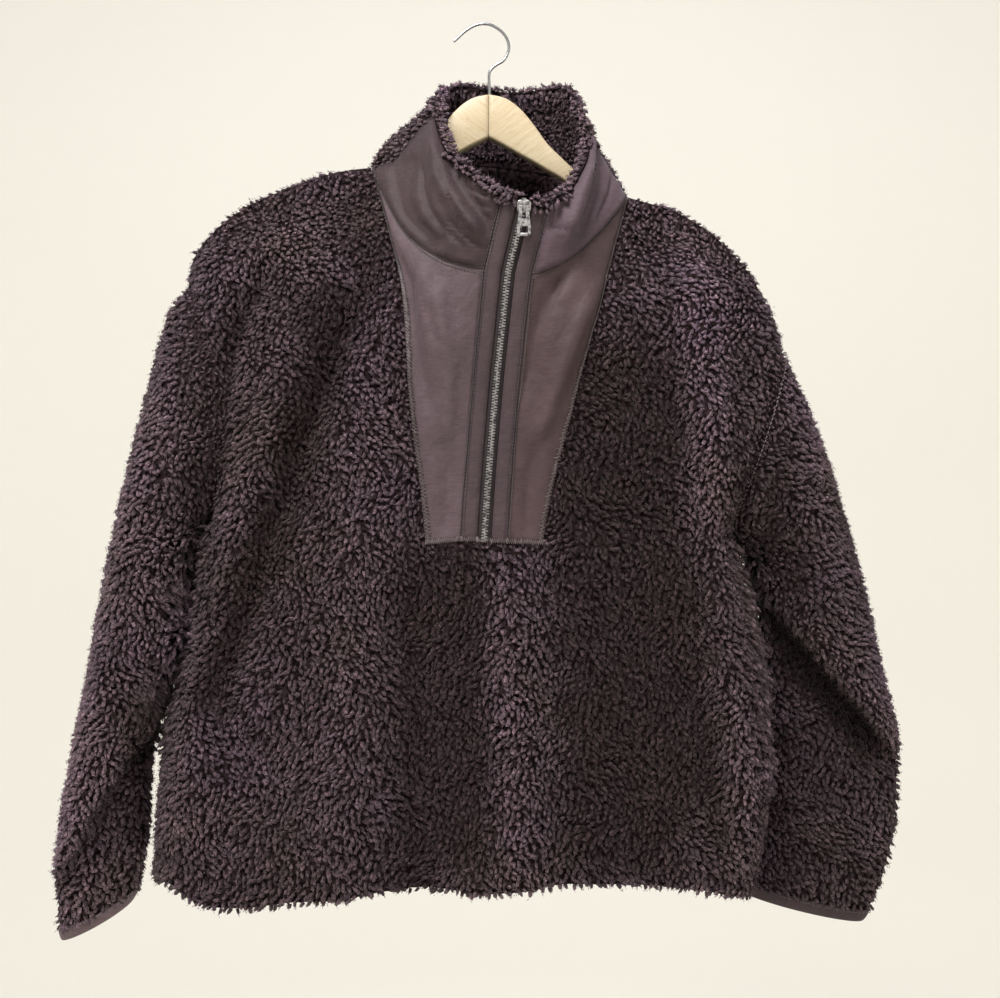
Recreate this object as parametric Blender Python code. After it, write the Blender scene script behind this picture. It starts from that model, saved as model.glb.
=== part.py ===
"""A half-zip pullover of sherpa fleece on a wooden hanger, as its cut and sewn pieces.

Frame: metres, +Z up, +X to the viewer's right, -Y towards the viewer. The origin is the
inside top of the hanger's hook. Tables and sizes are in millimetres.

The cloth is one skin, worked out by functions from the tables below and cut into panels along
its seams. Each panel is a closed wall on that skin, 0.3 mm clear of its neighbours.
"""

import math

import bpy
import numpy as np

MM = 0.001

# ---------------------------------------------------------------- driving sizes
SEAM_GAP = 0.3                # between two panels at a seam
SHARPEST = 0.4                # a panel's sharp corner is drawn back by at most the gap over twice this
PILE_OUT = 5.5                # from the knitted ground out to the tips of the pile
GROUND_IN = 1.3               # ground of the fleece, inside the skin
WOVEN_HALF = 0.6              # half of the woven cloth, hem turnings included
SEAM_PILE = 0.5               # pile pressed flat right at an armhole seam
SEAM_REACH = 26.0             # distance over which it rises to its full height
NECK_PILE, NECK_REACH = 0.8, 28.0   # the same at the back neck seam
EDGE_PILE, EDGE_REACH = 1.5, 15.0   # and along the placket's edges

ROWS_LOW = 12                 # rows from hem to underarm
ROWS_UP = 12                  # rows from underarm to shoulder seam
LEG_COLUMNS = 9               # columns beside the placket, on each side
PLACKET_COLUMNS = 3           # columns from the placket's edge to its welt
NECK_COLUMNS = 12             # columns of the back neck and the back collar
SLEEVE_RINGS = 24

# Heights on the body (t): 0 is the hem, 1 the underarm and the placket's foot, 2 the shoulder seam.
# Side seams, left and right as the viewer sees them.
SIDE_SEAMS = {
    "left": [("t", "x", "y", "z"),
             (0.0, -265, 0, -673), (0.25, -260, 0, -607), (0.5, -247, 0, -540),
             (0.75, -231, 0, -471), (1.0, -222, 2, -402)],
    "right": [("t", "x", "y", "z"),
              (0.0, 206, -16, -687), (0.25, 218, -18, -614), (0.5, 215, -16, -545),
              (0.75, 206, -8, -475), (1.0, 188, 4, -405)],
}

# Armholes: shoulder point, underarm point, and how far the front and back halves reach.
ARMHOLES = {
    "left": {"top": (-240, 0, -209), "under": (-222, 2, -402), "front": (18, -33, 0), "back": (4, 34, 0)},
    "right": {"top": (232, 2, -258), "under": (188, 4, -405), "front": (2, -37, 0), "back": (0, 38, 0)},
}

# Shoulder seams from the armhole (u = 0) to the neck point (u = 1).
SHOULDERS = {
    "left": [("u", "x", "y", "z"),
             (0.0, -240, 0, -209), (0.1, -235, -3, -187), (0.2, -222, -5, -170),
             (0.45, -186, -7, -144), (0.7, -143, -8, -127), (0.85, -117, -8, -119),
             (1.0, -92, -8, -116)],
    "right": [("u", "x", "y", "z"),
              (0.0, 232, 2, -258), (0.2, 220, -4, -222), (0.45, 193, -7, -183),
              (0.7, 156, -8, -155), (1.0, 109, -8, -139)],
}

# The placket's two outer edges and the zip's axis. Below t = 1 they run on to the hem.
PLACKET_EDGES = {
    "left": [("t", "x", "y", "z"),
             (0.0, -60, -44, -683), (0.5, -52, -46, -548), (1.0, -48, -47, -413),
             (1.4, -60, -46, -303), (1.75, -69, -41, -203), (1.88, -78, -31, -163), (2.0, -92, -8, -116)],
    "right": [("t", "x", "y", "z"),
              (0.0, 58, -44, -683), (0.5, 48, -46, -548), (1.0, 42, -47, -413),
              (1.4, 66, -46, -303), (1.72, 87, -41, -219), (1.87, 98, -28, -178), (2.0, 109, -8, -139)],
}
# The front hem dips and rises by this much from the straight line between its seams' corners.
HEM_RISE = [("x", "rise"), (-263, -3), (-247, -2), (-223, -15), (-191, -17), (-151, -10), (-111, -5),
            (-87, 0), (-67, 2), (-23, 4), (-7, 2), (23, 6), (57, 9), (89, 7), (113, 6), (137, 6),
            (169, 5), (185, 2), (201, -2)]
ZIP_AXIS = [("t", "x", "y", "z"),
            (0.0, -8, -47, -683), (0.5, -6, -49, -548), (1.0, -3, -51, -411),
            (1.4, 5, -53, -304), (1.75, 11, -58, -245), (2.0, 15, -62, -208)]
ZIP_HALF = 5.5                # half of the zip's tape between the welts
WELT_WIDTH = 12.0
ZIP_AHEAD = 0.02              # the zip's direction is taken between places this far up and down it

# Depth of the body at each height: beside the seams, at the placket, and of the back.
SECTIONS = [("t", "front_side", "front_mid", "back_side", "back_mid", "corner"),
            (0.0, 40, 45, 33, 36, 34), (0.5, 42, 46, 34, 38, 34), (1.0, 43, 47, 34, 40, 32),
            (1.5, 39, 46, 34, 42, 24), (1.8, 27, 40, 27, 38, 16),
            (1.917, 17, 26, 14, 22, 12), (1.96, 12, 16, 3, 6, 11), (2.0, 7, 8, -7, -8, 10)]
CORNER_TURN = 0.28            # share of a leg's columns that turn the corner at the side seam
CROWN_FROM = 1.15             # from this height up the rows take on the shoulder seam's curve
NECK_CROWN_FROM = 1.2         # the same for the middle of the back
NECK_CROWN_POWER = 1.5        # how late it comes there
YOKE_FROM = 1.8               # from here up the front falls back to the shoulder seam's depth
NECK_DEPTH_FROM = 1.75        # from here up the back's middle comes forward to the neck seam
BACK_BULGE = 3.0              # the back's middle lies this much deeper than its sides
# The back panel comes over the shoulder: its rows are lifted by this share of their drop.
RIDGE_ROW = 1.96              # height of one more row of the back, for that curve
RIDGE_AT_NECK = 0.25          # the lift that is left at the neck point
RIDGE = [("t", "lift"), (1.7, 0.0), (1.83, 0.28), (1.917, 0.62), (1.96, 1.4), (2.0, 1.4)]

# Soft folds of the torso: three points down each, half width, and depth (out is negative).
FOLD_COLUMNS = ("x0", "z0", "x1", "z1", "x2", "z2", "half_width", "depth")
FRONT_FOLDS = {
    "beside_left_sleeve": (-166, -190, -194, -250, -208, -357, 12, 9),
    "left_panel_ridge": (-121, -205, -172, -364, -226, -605, 22, -6),
    "left_panel_trough": (-90, -200, -141, -326, -208, -533, 15, 14),
    "placket_side_ridge": (-82, -257, -91, -426, -121, -656, 24, -6),
    "left_centre_trough": (-64, -428, -50, -549, -56, -690, 24, 11),
    "centre_ridge": (17, -430, 24, -549, 28, -690, 20, -9),
    "right_centre_trough": (86, -326, 114, -495, 112, -690, 34, 11),
    "right_side_ridge": (160, -200, 178, -380, 194, -610, 16, -7),
    "right_yoke_trough": (98, -222, 124, -272, 152, -330, 12, 6),
    "right_hem_trough": (150, -520, 172, -587, 180, -650, 12, 8),
}
BACK_FOLDS = {
    "back_left_trough": (-120, -220, -140, -400, -165, -660, 24, -10),
    "back_centre_ridge": (-30, -240, -36, -430, -44, -690, 30, 8),
    "back_right_trough": (60, -240, 74, -430, 82, -690, 26, -10),
    "back_right_ridge": (130, -260, 140, -430, 150, -670, 22, 7),
    "back_side_trough": (-190, -330, -205, -450, -215, -600, 16, -6),
}

FOLD_ENDS = (0.12, 0.3, 1.25, 0.35)   # where a fold fades in and out, as shares of its length
EDGE_FADE = 0.2               # the yoke's shape fades in over this share of a leg at both ends
NECK_FADE = 0.3               # the ridge's lift changes over this share of a leg at the neck point
FOOT_BLEND = 0.15             # below the placket's foot the rows ease onto it over this height
SIDE_LEVEL = 0.25             # the front keeps its side's depth over this share of a leg
NECK_TOP_FADE = 0.3           # the back neck's folds die out over this height
BACK_SIDES = 0.45             # the back neck's own depth fades in over this share of its width
SIDE_FADE = 0.22              # folds die out over this share of a leg at the side seam
TOP_FADE = 0.25               # and over this height below the shoulder seam
PLACKET_FADE = 0.4            # and over this share of a leg beside the placket
FOOT_FADE = 0.25              # and over this height below the placket's foot

# Sleeves from the armhole (q = 0) to the cuff (q = 1): outer and inner edge, depth of the ring.
SLEEVES = {
    "left": [("q", "ox", "oz", "ix", "iz", "y", "front", "back"),
             (0.00, -240, -209, -222, -402, 1, 33, 34), (0.04, -254, -230, -228, -403, 1, 36, 36),
             (0.12, -271, -292, -234, -407, 0, 40, 38), (0.25, -287, -365, -239, -421, -1, 44, 41),
             (0.38, -297, -414, -241, -447, -2, 47, 43), (0.50, -306, -462, -245, -482, -2, 48, 44),
             (0.62, -314, -510, -254, -520, -2, 48, 44), (0.75, -325, -566, -271, -566, -2, 47, 43),
             (0.86, -336, -625, -273, -612, -2, 44, 40), (0.94, -343, -676, -275, -652, -2, 41, 37),
             (1.00, -342, -719, -281, -688, -2, 38, 34)],
    "right": [("q", "ox", "oz", "ix", "iz", "y", "front", "back"),
              (0.00, 232, -258, 188, -405, 3, 37, 38), (0.12, 257, -312, 200, -411, 10, 42, 36),
              (0.25, 277, -364, 211, -423, 18, 46, 33), (0.38, 292, -410, 218, -447, 24, 50, 30),
              (0.50, 306, -458, 222, -478, 28, 52, 27), (0.62, 318, -512, 224, -518, 29, 52, 26),
              (0.75, 332, -575, 223, -568, 28, 50, 26), (0.86, 333, -628, 219, -615, 26, 47, 25),
              (0.94, 325, -675, 214, -655, 24, 43, 25), (1.00, 310, -713, 207, -688, 22, 40, 24)],
}
# The elbow's fold: the forearm lies this much deeper on the far side of a slanting line.
ELBOWS = {
    "left": {"start": (-243, -512), "end": (-308, -618), "deeper": 22, "over": 20},
    "right": {"start": (180, -404), "end": (334, -574), "deeper": -28, "over": 22},
}
ELBOW_EASE = 0.25             # share of the sleeve over which the elbow's step comes in
ELBOW_RUN = 40.0              # the elbow's fold deepens over this length
ELBOW_START = 0.6             # and is this deep, as a share, at its start
ARMHOLE_BLEND = 0.3           # share of the sleeve over which the armhole's own shape fades out
CUFF_BINDING = 10.0           # width of the smooth binding
CUFF_AXIS_FROM = 0.94         # the binding follows the sleeve's direction from here to its end
CUFF_HALF = 1.0               # half of the folded binding's thickness
CUFF_TURN_IN = 1.5            # the binding draws in by this much at its end
CUFF_FRONT_DIP = 4.0          # the front of the cuff hangs this much lower
CUFF_DIP_SHARE = 0.2          # which comes in over this share of the sleeve

# The collar from the zip round the left side, the back and the right side: base, rim, and how far
# its wall bellies out between them.
COLLAR = [("c", "bx", "by", "bz", "rx", "ry", "rz", "swell"),
          (0.0, 15, -62, -208, 28, -74, -156, 4), (1.0, -14, -60, -205, 7, -69, -143, 4),
          (2.0, -44, -52, -193, -15, -56, -127, 4), (3.0, -68, -38, -168, -33, -37, -103, 5),
          (4.0, -92, -8, -116, -40, -12, -73, 7), (5.0, -88, 7, -111, -40, 1, -62, 7),
          (7.0, -68, 28, -104, -30, 22, -44, 5), (10.0, 6, 43, -104, 20, 43, -43, 4),
          (13.0, 80, 26, -121, 66, 22, -47, 3), (15.0, 99, 7, -131, 73, 1, -72, 0),
          (16.0, 109, -8, -139, 76, -12, -86, 0), (17.0, 91, -34, -165, 72, -35, -114, 2),
          (18.0, 67, -51, -189, 59, -55, -136, 4), (19.0, 41, -60, -204, 44, -68, -148, 4),
          (20.0, 15, -62, -208, 28, -74, -156, 4)]
NECK_POINTS = (4.0, 16.0)     # columns where the shoulder seams meet the collar, left and right
NECK_CENTRE = (12.0, 5.0)     # the neck opening's middle in X and Y
FRONT_COLUMNS = 3.35          # columns from a neck point to the welt
SEAM_BOW = 0.35               # the left seam with the back collar bows forward by this many columns
ZIP_LEAN = 0.22               # the rim falls back this much to each side of the zip
COLLAR_RISE = (0.0, 0.17, 0.34, 0.5, 0.66, 0.79, 0.89, 1.0)
LINING_CLEAR = 1.4            # lining's ground from the skin
LINING_PILE = 6.0
LINING_FOOT_PILE = 3.0
LINING_FOOT = 0.15            # the lining starts this share of the collar's height above the neck seam
RIM_ROLL = 4.5                # the lining comes this far down outside the rim
# The lining's way over the rim: the ground's place and the way its pile points, up the wall and out of it.
ROLL = [("up", "out", "pile_up", "pile_out"),
        (1.2, -0.2, 1.0, 0.0), (0.6, 1.5, 0.5, 1.0), (-RIM_ROLL, 1.6, 0.0, 1.0)]
ROLL_END_PILE = 4.5

# The zip slider and its pull tab. Sizes run across, up along the zip and out from it.
WELT_OUT = 1.8                # the folded welt stands this far out of the skin
CHAIN_OUT = 1.2
SLIDER_RISE = 0.90            # place on the collar's height
SLIDER_LEAN_FROM = 0.6        # the slider leans as the zip does from here to the rim
SLIDER_PLATE = (11.0, 9.5, 1.8)
SLIDER_WIDTHS = (0.62, 1.0, 1.0, 0.8)
ARCH = (2.2, 7.0, 3.7)        # the bridge that holds the tab
ARCH_WIRE = 1.3
ARCH_SINK = 0.4               # the bridge's feet go this far into the plate
TAB_WIDTH, TAB_LENGTH, TAB_THICK = 10.5, 22.0, 1.3
TAB_BAR = 0.75                # half height of the bar in the arch
TAB_SLOT = (3.6, 8.5)         # open slot over the bridge: width, length
TAB_WINDOW = (6.0, 5.0)       # window near the tab's end: width, length
TAB_RIM = 2.2
TAB_WIDTHS = (0.72, 1.0, 1.0, 0.84, 0.7, 0.7)

# The hanger: each arm's upper and lower edge, going away from the mitre.
HANGER_ARMS = {
    "left": [("x", "up", "low"),
             (0, -56.5, -91), (14, -60, -98), (26, -69, -104.5), (36, -81, -110), (46, -94, -115.5),
             (58, -106, -121.5), (75, -124, -134), (92, -133, -147), (120, -136, -155), (145, -143, -163),
             (180, -162, -181), (206, -183, -203)],
    "right": [("x", "up", "low"),
              (0, -56.5, -91), (14, -60, -98.5), (26, -69, -105.5), (36, -81, -111), (46, -95, -117),
              (58, -107, -124), (90, -137, -152), (100, -147, -160), (109, -151, -166),
              (150, -159, -180), (180, -179, -200), (204, -204, -222)],
}
HANGER_THICK = 12.0
HANGER_EDGE = 2.5             # rounding of the wood's long edges
HANGER_STEPS = 22
HOOK_STEPS = 46
MITRE_GAP = 0.3
WIRE_RADIUS = 1.15
HOOK_PATH = [("i", "x", "z"),
             (0, 0.5, -56.0), (1, 0.4, -48), (2, 0.6, -38), (3, 5, -32.5), (4, 12, -28), (5, 16, -20),
             (6, 15, -12), (7, 10, -4.9), (8, 1, 0.5), (9, -9, 0.5), (10, -18, -4.2), (11, -24, -9.5),
             (12, -28, -13)]

COLOURS = {
    "sherpa": ((0.062, 0.047, 0.052), 0.95, 0.0),
    "woven": ((0.135, 0.105, 0.115), 0.55, 0.0),
    "tape": ((0.03, 0.024, 0.026), 0.8, 0.0),
    "zip_metal": ((0.55, 0.54, 0.54), 0.35, 1.0),
    "wood": ((0.72, 0.52, 0.32), 0.5, 0.0),
    "wire": ((0.62, 0.63, 0.65), 0.3, 1.0),
}


# ---------------------------------------------------------------- small helpers
def track(table, at, *names):
    """The named columns of a table at a place in its first column, on a smooth curve."""
    heads = table[0]
    rows = np.array(table[1:], float)
    knots = rows[:, 0]
    values = rows[:, [heads.index(name) for name in names]]
    slopes = np.gradient(values, knots, axis=0)
    at = min(max(at, knots[0]), knots[-1])
    k = min(int(np.searchsorted(knots, at, side="right")) - 1, len(knots) - 2)
    step = knots[k + 1] - knots[k]
    s = (at - knots[k]) / step
    near, far = values[k], values[k + 1]
    return ((2 * s**3 - 3 * s**2 + 1) * near + (s**3 - 2 * s**2 + s) * step * slopes[k]
            + (3 * s**2 - 2 * s**3) * far + (s**3 - s**2) * step * slopes[k + 1])


def smooth(x):
    """0 below 0, 1 above 1, and an easy curve between."""
    x = min(max(x, 0.0), 1.0)
    return x * x * (3 - 2 * x)


def unit(vector):
    return vector / max(np.linalg.norm(vector), 1e-12)


def fold_shift(folds, x, z):
    """How far the folds move the cloth in depth at a place of the front view."""
    shift = 0.0
    for row in folds.values():
        fold = dict(zip(FOLD_COLUMNS, row))
        span = fold["z0"] - fold["z2"]
        down = (fold["z0"] - z) / span
        middle = (fold["z0"] - fold["z1"]) / span
        line = [("v", "x"), (0.0, fold["x0"]), (middle, fold["x1"]), (1.0, fold["x2"])]
        aside = (x - track(line, down, "x")[0]) / fold["half_width"]
        before, rise, after, fall = FOLD_ENDS
        ends = smooth((down + before) / rise) * smooth((after - down) / fall)
        shift += fold["depth"] * ends * math.exp(-aside * aside)
    return shift


# ---------------------------------------------------------------- the skin, as functions
def armhole(side, turn):
    """A point of the armhole: turn 0 is the underarm, 0.5 the shoulder point, 1 the underarm again."""
    hole = ARMHOLES[side]
    top, under = np.array(hole["top"], float), np.array(hole["under"], float)
    across = math.sin(2 * math.pi * turn)
    reach = np.array(hole["front"] if across > 0 else hole["back"], float)
    return (top + under) / 2 + (under - top) / 2 * math.cos(2 * math.pi * turn) + reach * abs(across)


def side_edge(side, t, back):
    """The torso's side at height t: the side seam, then one half of the armhole."""
    if t <= 1.0:
        return track(SIDE_SEAMS[side], t, "x", "y", "z")
    turn = (t - 1.0) / 2
    return armhole(side, 1 - turn if back else turn)


def placket_edge(side, t):
    return track(PLACKET_EDGES[side], t, "x", "y", "z")


def zip_axis(t):
    return track(ZIP_AXIS, t, "x", "y", "z")


def leg(side, t, u, back=False):
    """The torso beside the placket: u runs from the side (0) to the placket's edge (1)."""
    outer, inner = side_edge(side, t, back), placket_edge(side, t)
    depth_side, depth_mid, corner = track(
        SECTIONS, t, "back_side" if back else "front_side", "back_mid" if back else "front_mid", "corner")
    width = abs(inner[0] - outer[0])
    share = corner / width
    if u < CORNER_TURN:
        angle = math.pi / 2 * u / CORNER_TURN
        along, rise = share * (1 - math.cos(angle)), math.sin(angle)
    else:
        along, rise = share + (1 - share) * (u - CORNER_TURN) / (1 - CORNER_TURN), 1.0
    point = outer + (inner - outer) * along
    crown = smooth((t - CROWN_FROM) / (2 - CROWN_FROM)) ** 2
    seam = track(SHOULDERS[side], u, "x", "y", "z")
    chord = track(SHOULDERS[side], 0, "x", "y", "z") * (1 - along) + placket_edge(side, 2.0) * along
    point = point + crown * (seam - chord) * np.array([1, 0, 1])
    if back:
        depth = depth_side + (depth_mid - depth_side) * smooth(u)
        target = depth
    else:
        middle = inner[1]
        target = -depth_side + (middle + depth_side) * smooth((u - SIDE_LEVEL) / (1 - SIDE_LEVEL))
    level = outer[1] + (target - outer[1]) * rise
    if t == 2.0:
        level = seam[1]
    elif t > YOKE_FROM and not back:
        yoke = smooth((t - YOKE_FROM) / (2 - YOKE_FROM))
        level += (seam[1] - level) * yoke * smooth(u / EDGE_FADE) * smooth((1 - u) / EDGE_FADE)
    point[1] = level
    if back and t > RIDGE[1][0]:
        ends = smooth(u / EDGE_FADE) * (1 - (1 - RIDGE_AT_NECK) * smooth((u - 1 + NECK_FADE) / NECK_FADE))
        point[2] += (seam[2] - point[2]) * track(RIDGE, t, "lift")[0] * ends
    fade = smooth(u / SIDE_FADE) * smooth((2.0 - t) / TOP_FADE)
    if not back:
        point[2] += hem_rise(t, point[0]) * smooth(u / EDGE_FADE)
        beside = smooth((u - 1 + PLACKET_FADE) / PLACKET_FADE)
        fade *= 1 - beside * smooth((t - 1 + FOOT_FADE) / FOOT_FADE)
    point[1] += fade * fold_shift(BACK_FOLDS if back else FRONT_FOLDS, point[0], point[2])
    return point


def hem_rise(t, x):
    """How much the front's rows rise at x, all of it at the hem and none from the underarm up."""
    return track(HEM_RISE, x, "rise")[0] * max(1.0 - t, 0.0) ** 2


def below_placket(t, u):
    """The front between the two placket edges' lines, from left (0) to right (1), below the placket."""
    row = [("u", "x", "y", "z"), (0.0, *placket_edge("left", t)), (0.5, *zip_axis(t)),
           (1.0, *placket_edge("right", t))]
    point = track(row, u, "x", "y", "z")
    point[2] += hem_rise(t, point[0])
    fade = 1 - smooth((t - 1 + FOOT_FADE) / FOOT_FADE)
    point[1] += fade * fold_shift(FRONT_FOLDS, point[0], point[2])
    return point


def zip_side(t, reach):
    """A point beside the zip's axis, reach to the viewer's right of it."""
    ahead = min(t + ZIP_AHEAD, 2.0)
    along = unit(zip_axis(ahead) - zip_axis(ahead - 2 * ZIP_AHEAD))
    right = unit(np.cross(along, np.array([0.0, 1.0, 0.0])))
    right = right if right[0] > 0 else -right
    return zip_axis(t) + right * reach


def placket(side, t, u):
    """A placket panel: u runs from its outer edge (0) to the line of its welt (1)."""
    sign = -1 if side == "left" else 1
    v = t - 1.0
    outer = placket_edge(side, t)
    inner = zip_side(t, sign * (ZIP_HALF + WELT_WIDTH))
    foot_a, foot_b = placket_edge(side, 1.0), zip_side(1.0, sign * (ZIP_HALF + WELT_WIDTH))
    head_a, head_b = placket_edge(side, 2.0), zip_side(2.0, sign * (ZIP_HALF + WELT_WIDTH))
    across = outer * (1 - u) + inner * u
    along = foot_a * (1 - u) * (1 - v) + foot_b * u * (1 - v) + head_a * (1 - u) * v + head_b * u * v
    foot = foot_a * (1 - u) + foot_b * u
    head = collar_base(side, u)
    return across + foot * (1 - v) + head * v - along


def collar_columns(side, u):
    """The collar's column that stands over a place on the placket panel's upper edge."""
    return NECK_POINTS[0] - FRONT_COLUMNS * u if side == "left" else NECK_POINTS[1] + FRONT_COLUMNS * u


def collar_base(side, u):
    """The neck seam over a placket panel, from the neck point (0) to the welt (1)."""
    sign = -1 if side == "left" else 1
    point = track(COLLAR, collar_columns(side, u), "bx", "by", "bz")
    end = track(COLLAR, collar_columns(side, 1.0), "bx", "by", "bz")
    return point + (zip_side(2.0, sign * (ZIP_HALF + WELT_WIDTH)) - end) * u


def collar(c, r, share=1.0):
    """The collar's wall at column c, from its base (0) to its rim (1), with a share of its belly."""
    base = track(COLLAR, c, "bx", "by", "bz")
    rim = track(COLLAR, c, "rx", "ry", "rz")
    swell = track(COLLAR, c, "swell")[0]
    out = unit(np.array([base[0] - NECK_CENTRE[0], base[1] - NECK_CENTRE[1], 0.0]))
    return base + (rim - base) * r + out * share * swell * math.sin(math.pi * r)


def collar_front(side, u, r):
    """A front collar panel over its placket panel, with the same places along the neck seam."""
    sign = -1 if side == "left" else 1
    c = collar_columns(side, u)
    shift = collar_base(side, u) - collar(c, 0.0)
    bow = SEAM_BOW * math.sin(math.pi * r) * (1 - u) ** 2 if side == "left" else 0.0
    top = zip_top(sign * (ZIP_HALF + WELT_WIDTH), 1.0) - collar(collar_columns(side, 1.0), 1.0)
    return collar(c - bow, r, 1 - u ** 3) + shift * (1 - r) + top * u * r


def zip_top(reach, r):
    """The zip's stretch on the collar, reach to the right of its axis."""
    base, rim = zip_side(2.0, reach), track(COLLAR, 0.0, "rx", "ry", "rz")
    along = unit(rim - zip_axis(2.0))
    right = unit(np.cross(along, np.array([0.0, 1.0, 0.0])))
    right = right if right[0] > 0 else -right
    lean = np.array([0.0, abs(reach) * ZIP_LEAN, 0.0])
    return base * (1 - r) + (rim + right * reach + lean) * r


def back_column(u, r=0.0):
    """The collar's column over the back neck, from the right neck point (0) to the left (1)."""
    bow = SEAM_BOW * math.sin(math.pi * r) * u ** 4
    return NECK_POINTS[1] + (NECK_POINTS[0] - NECK_POINTS[1]) * u - bow


def back_neck(t, u):
    """The back between the two neck points, from right (0) to left (1)."""
    a, b = leg("right", t, 1.0, back=True), leg("left", t, 1.0, back=True)
    seam = track(COLLAR, back_column(u), "bx", "by", "bz")
    chord = placket_edge("right", 2.0) * (1 - u) + placket_edge("left", 2.0) * u
    crown = smooth((t - NECK_CROWN_FROM) / (2 - NECK_CROWN_FROM)) ** NECK_CROWN_POWER
    point = a * (1 - u) + b * u + crown * (seam - chord) * np.array([1, 0, 1])
    depth = track(SECTIONS, min(t, YOKE_FROM), "back_mid")[0] + BACK_BULGE * math.sin(math.pi * u)
    middle = smooth(u / BACK_SIDES) * smooth((1 - u) / BACK_SIDES)
    level = point[1] * (1 - middle) + depth * middle
    point[1] = level + (seam[1] - level) * smooth((t - NECK_DEPTH_FROM) / (2 - NECK_DEPTH_FROM))
    fade = smooth((2.0 - t) / NECK_TOP_FADE) * middle
    point[1] += fade * fold_shift(BACK_FOLDS, point[0], point[2])
    return point


def sleeve(side, q, turn):
    """The sleeve: q runs from armhole to cuff, turn as on the armhole."""
    ox, oz, ix, iz, y, front, back = track(SLEEVES[side], q, "ox", "oz", "ix", "iz", "y", "front", "back")
    outer, inner = np.array([ox, y, oz]), np.array([ix, y, iz])
    cosine, sine = math.cos(2 * math.pi * turn), math.sin(2 * math.pi * turn)
    point = (outer + inner) / 2 + (inner - outer) / 2 * cosine
    point = point + (armhole(side, turn) - plain_ring(side, turn)) * (1 - smooth(q / ARMHOLE_BLEND))
    front -= elbow_step(side, point[0], point[2]) * smooth(q / ELBOW_EASE)
    point[1] += -front * sine if sine > 0 else -back * sine
    point[2] -= CUFF_FRONT_DIP * sine * smooth((q - 1 + CUFF_DIP_SHARE) / CUFF_DIP_SHARE)
    return point


def elbow_step(side, x, z):
    """How much deeper the front of the sleeve lies beyond the elbow's slanting fold."""
    elbow = ELBOWS[side]
    start, end = np.array(elbow["start"], float), np.array(elbow["end"], float)
    along = unit(end - start)
    rest = np.array([x, z]) - start
    aside = (along[0] * rest[1] - along[1] * rest[0]) * np.sign(elbow["deeper"])
    across, down = smooth(aside / elbow["over"]), smooth(rest @ along / ELBOW_RUN + ELBOW_START)
    return abs(elbow["deeper"]) * across * down


def plain_ring(side, turn):
    """The armhole as a plain ring of the sleeve's table, without its own shape."""
    ox, oz, ix, iz, y, front, back = track(SLEEVES[side], 0, "ox", "oz", "ix", "iz", "y", "front", "back")
    outer, inner = np.array([ox, y, oz]), np.array([ix, y, iz])
    cosine, sine = math.cos(2 * math.pi * turn), math.sin(2 * math.pi * turn)
    reach = -front * sine if sine > 0 else -back * sine
    return (outer + inner) / 2 + (inner - outer) / 2 * cosine + np.array([0, reach, 0])


# ---------------------------------------------------------------- panels as grids of the skin
def grid(point_at, rows, columns):
    return np.array([[point_at(r, c) for c in columns] for r in rows])


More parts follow.
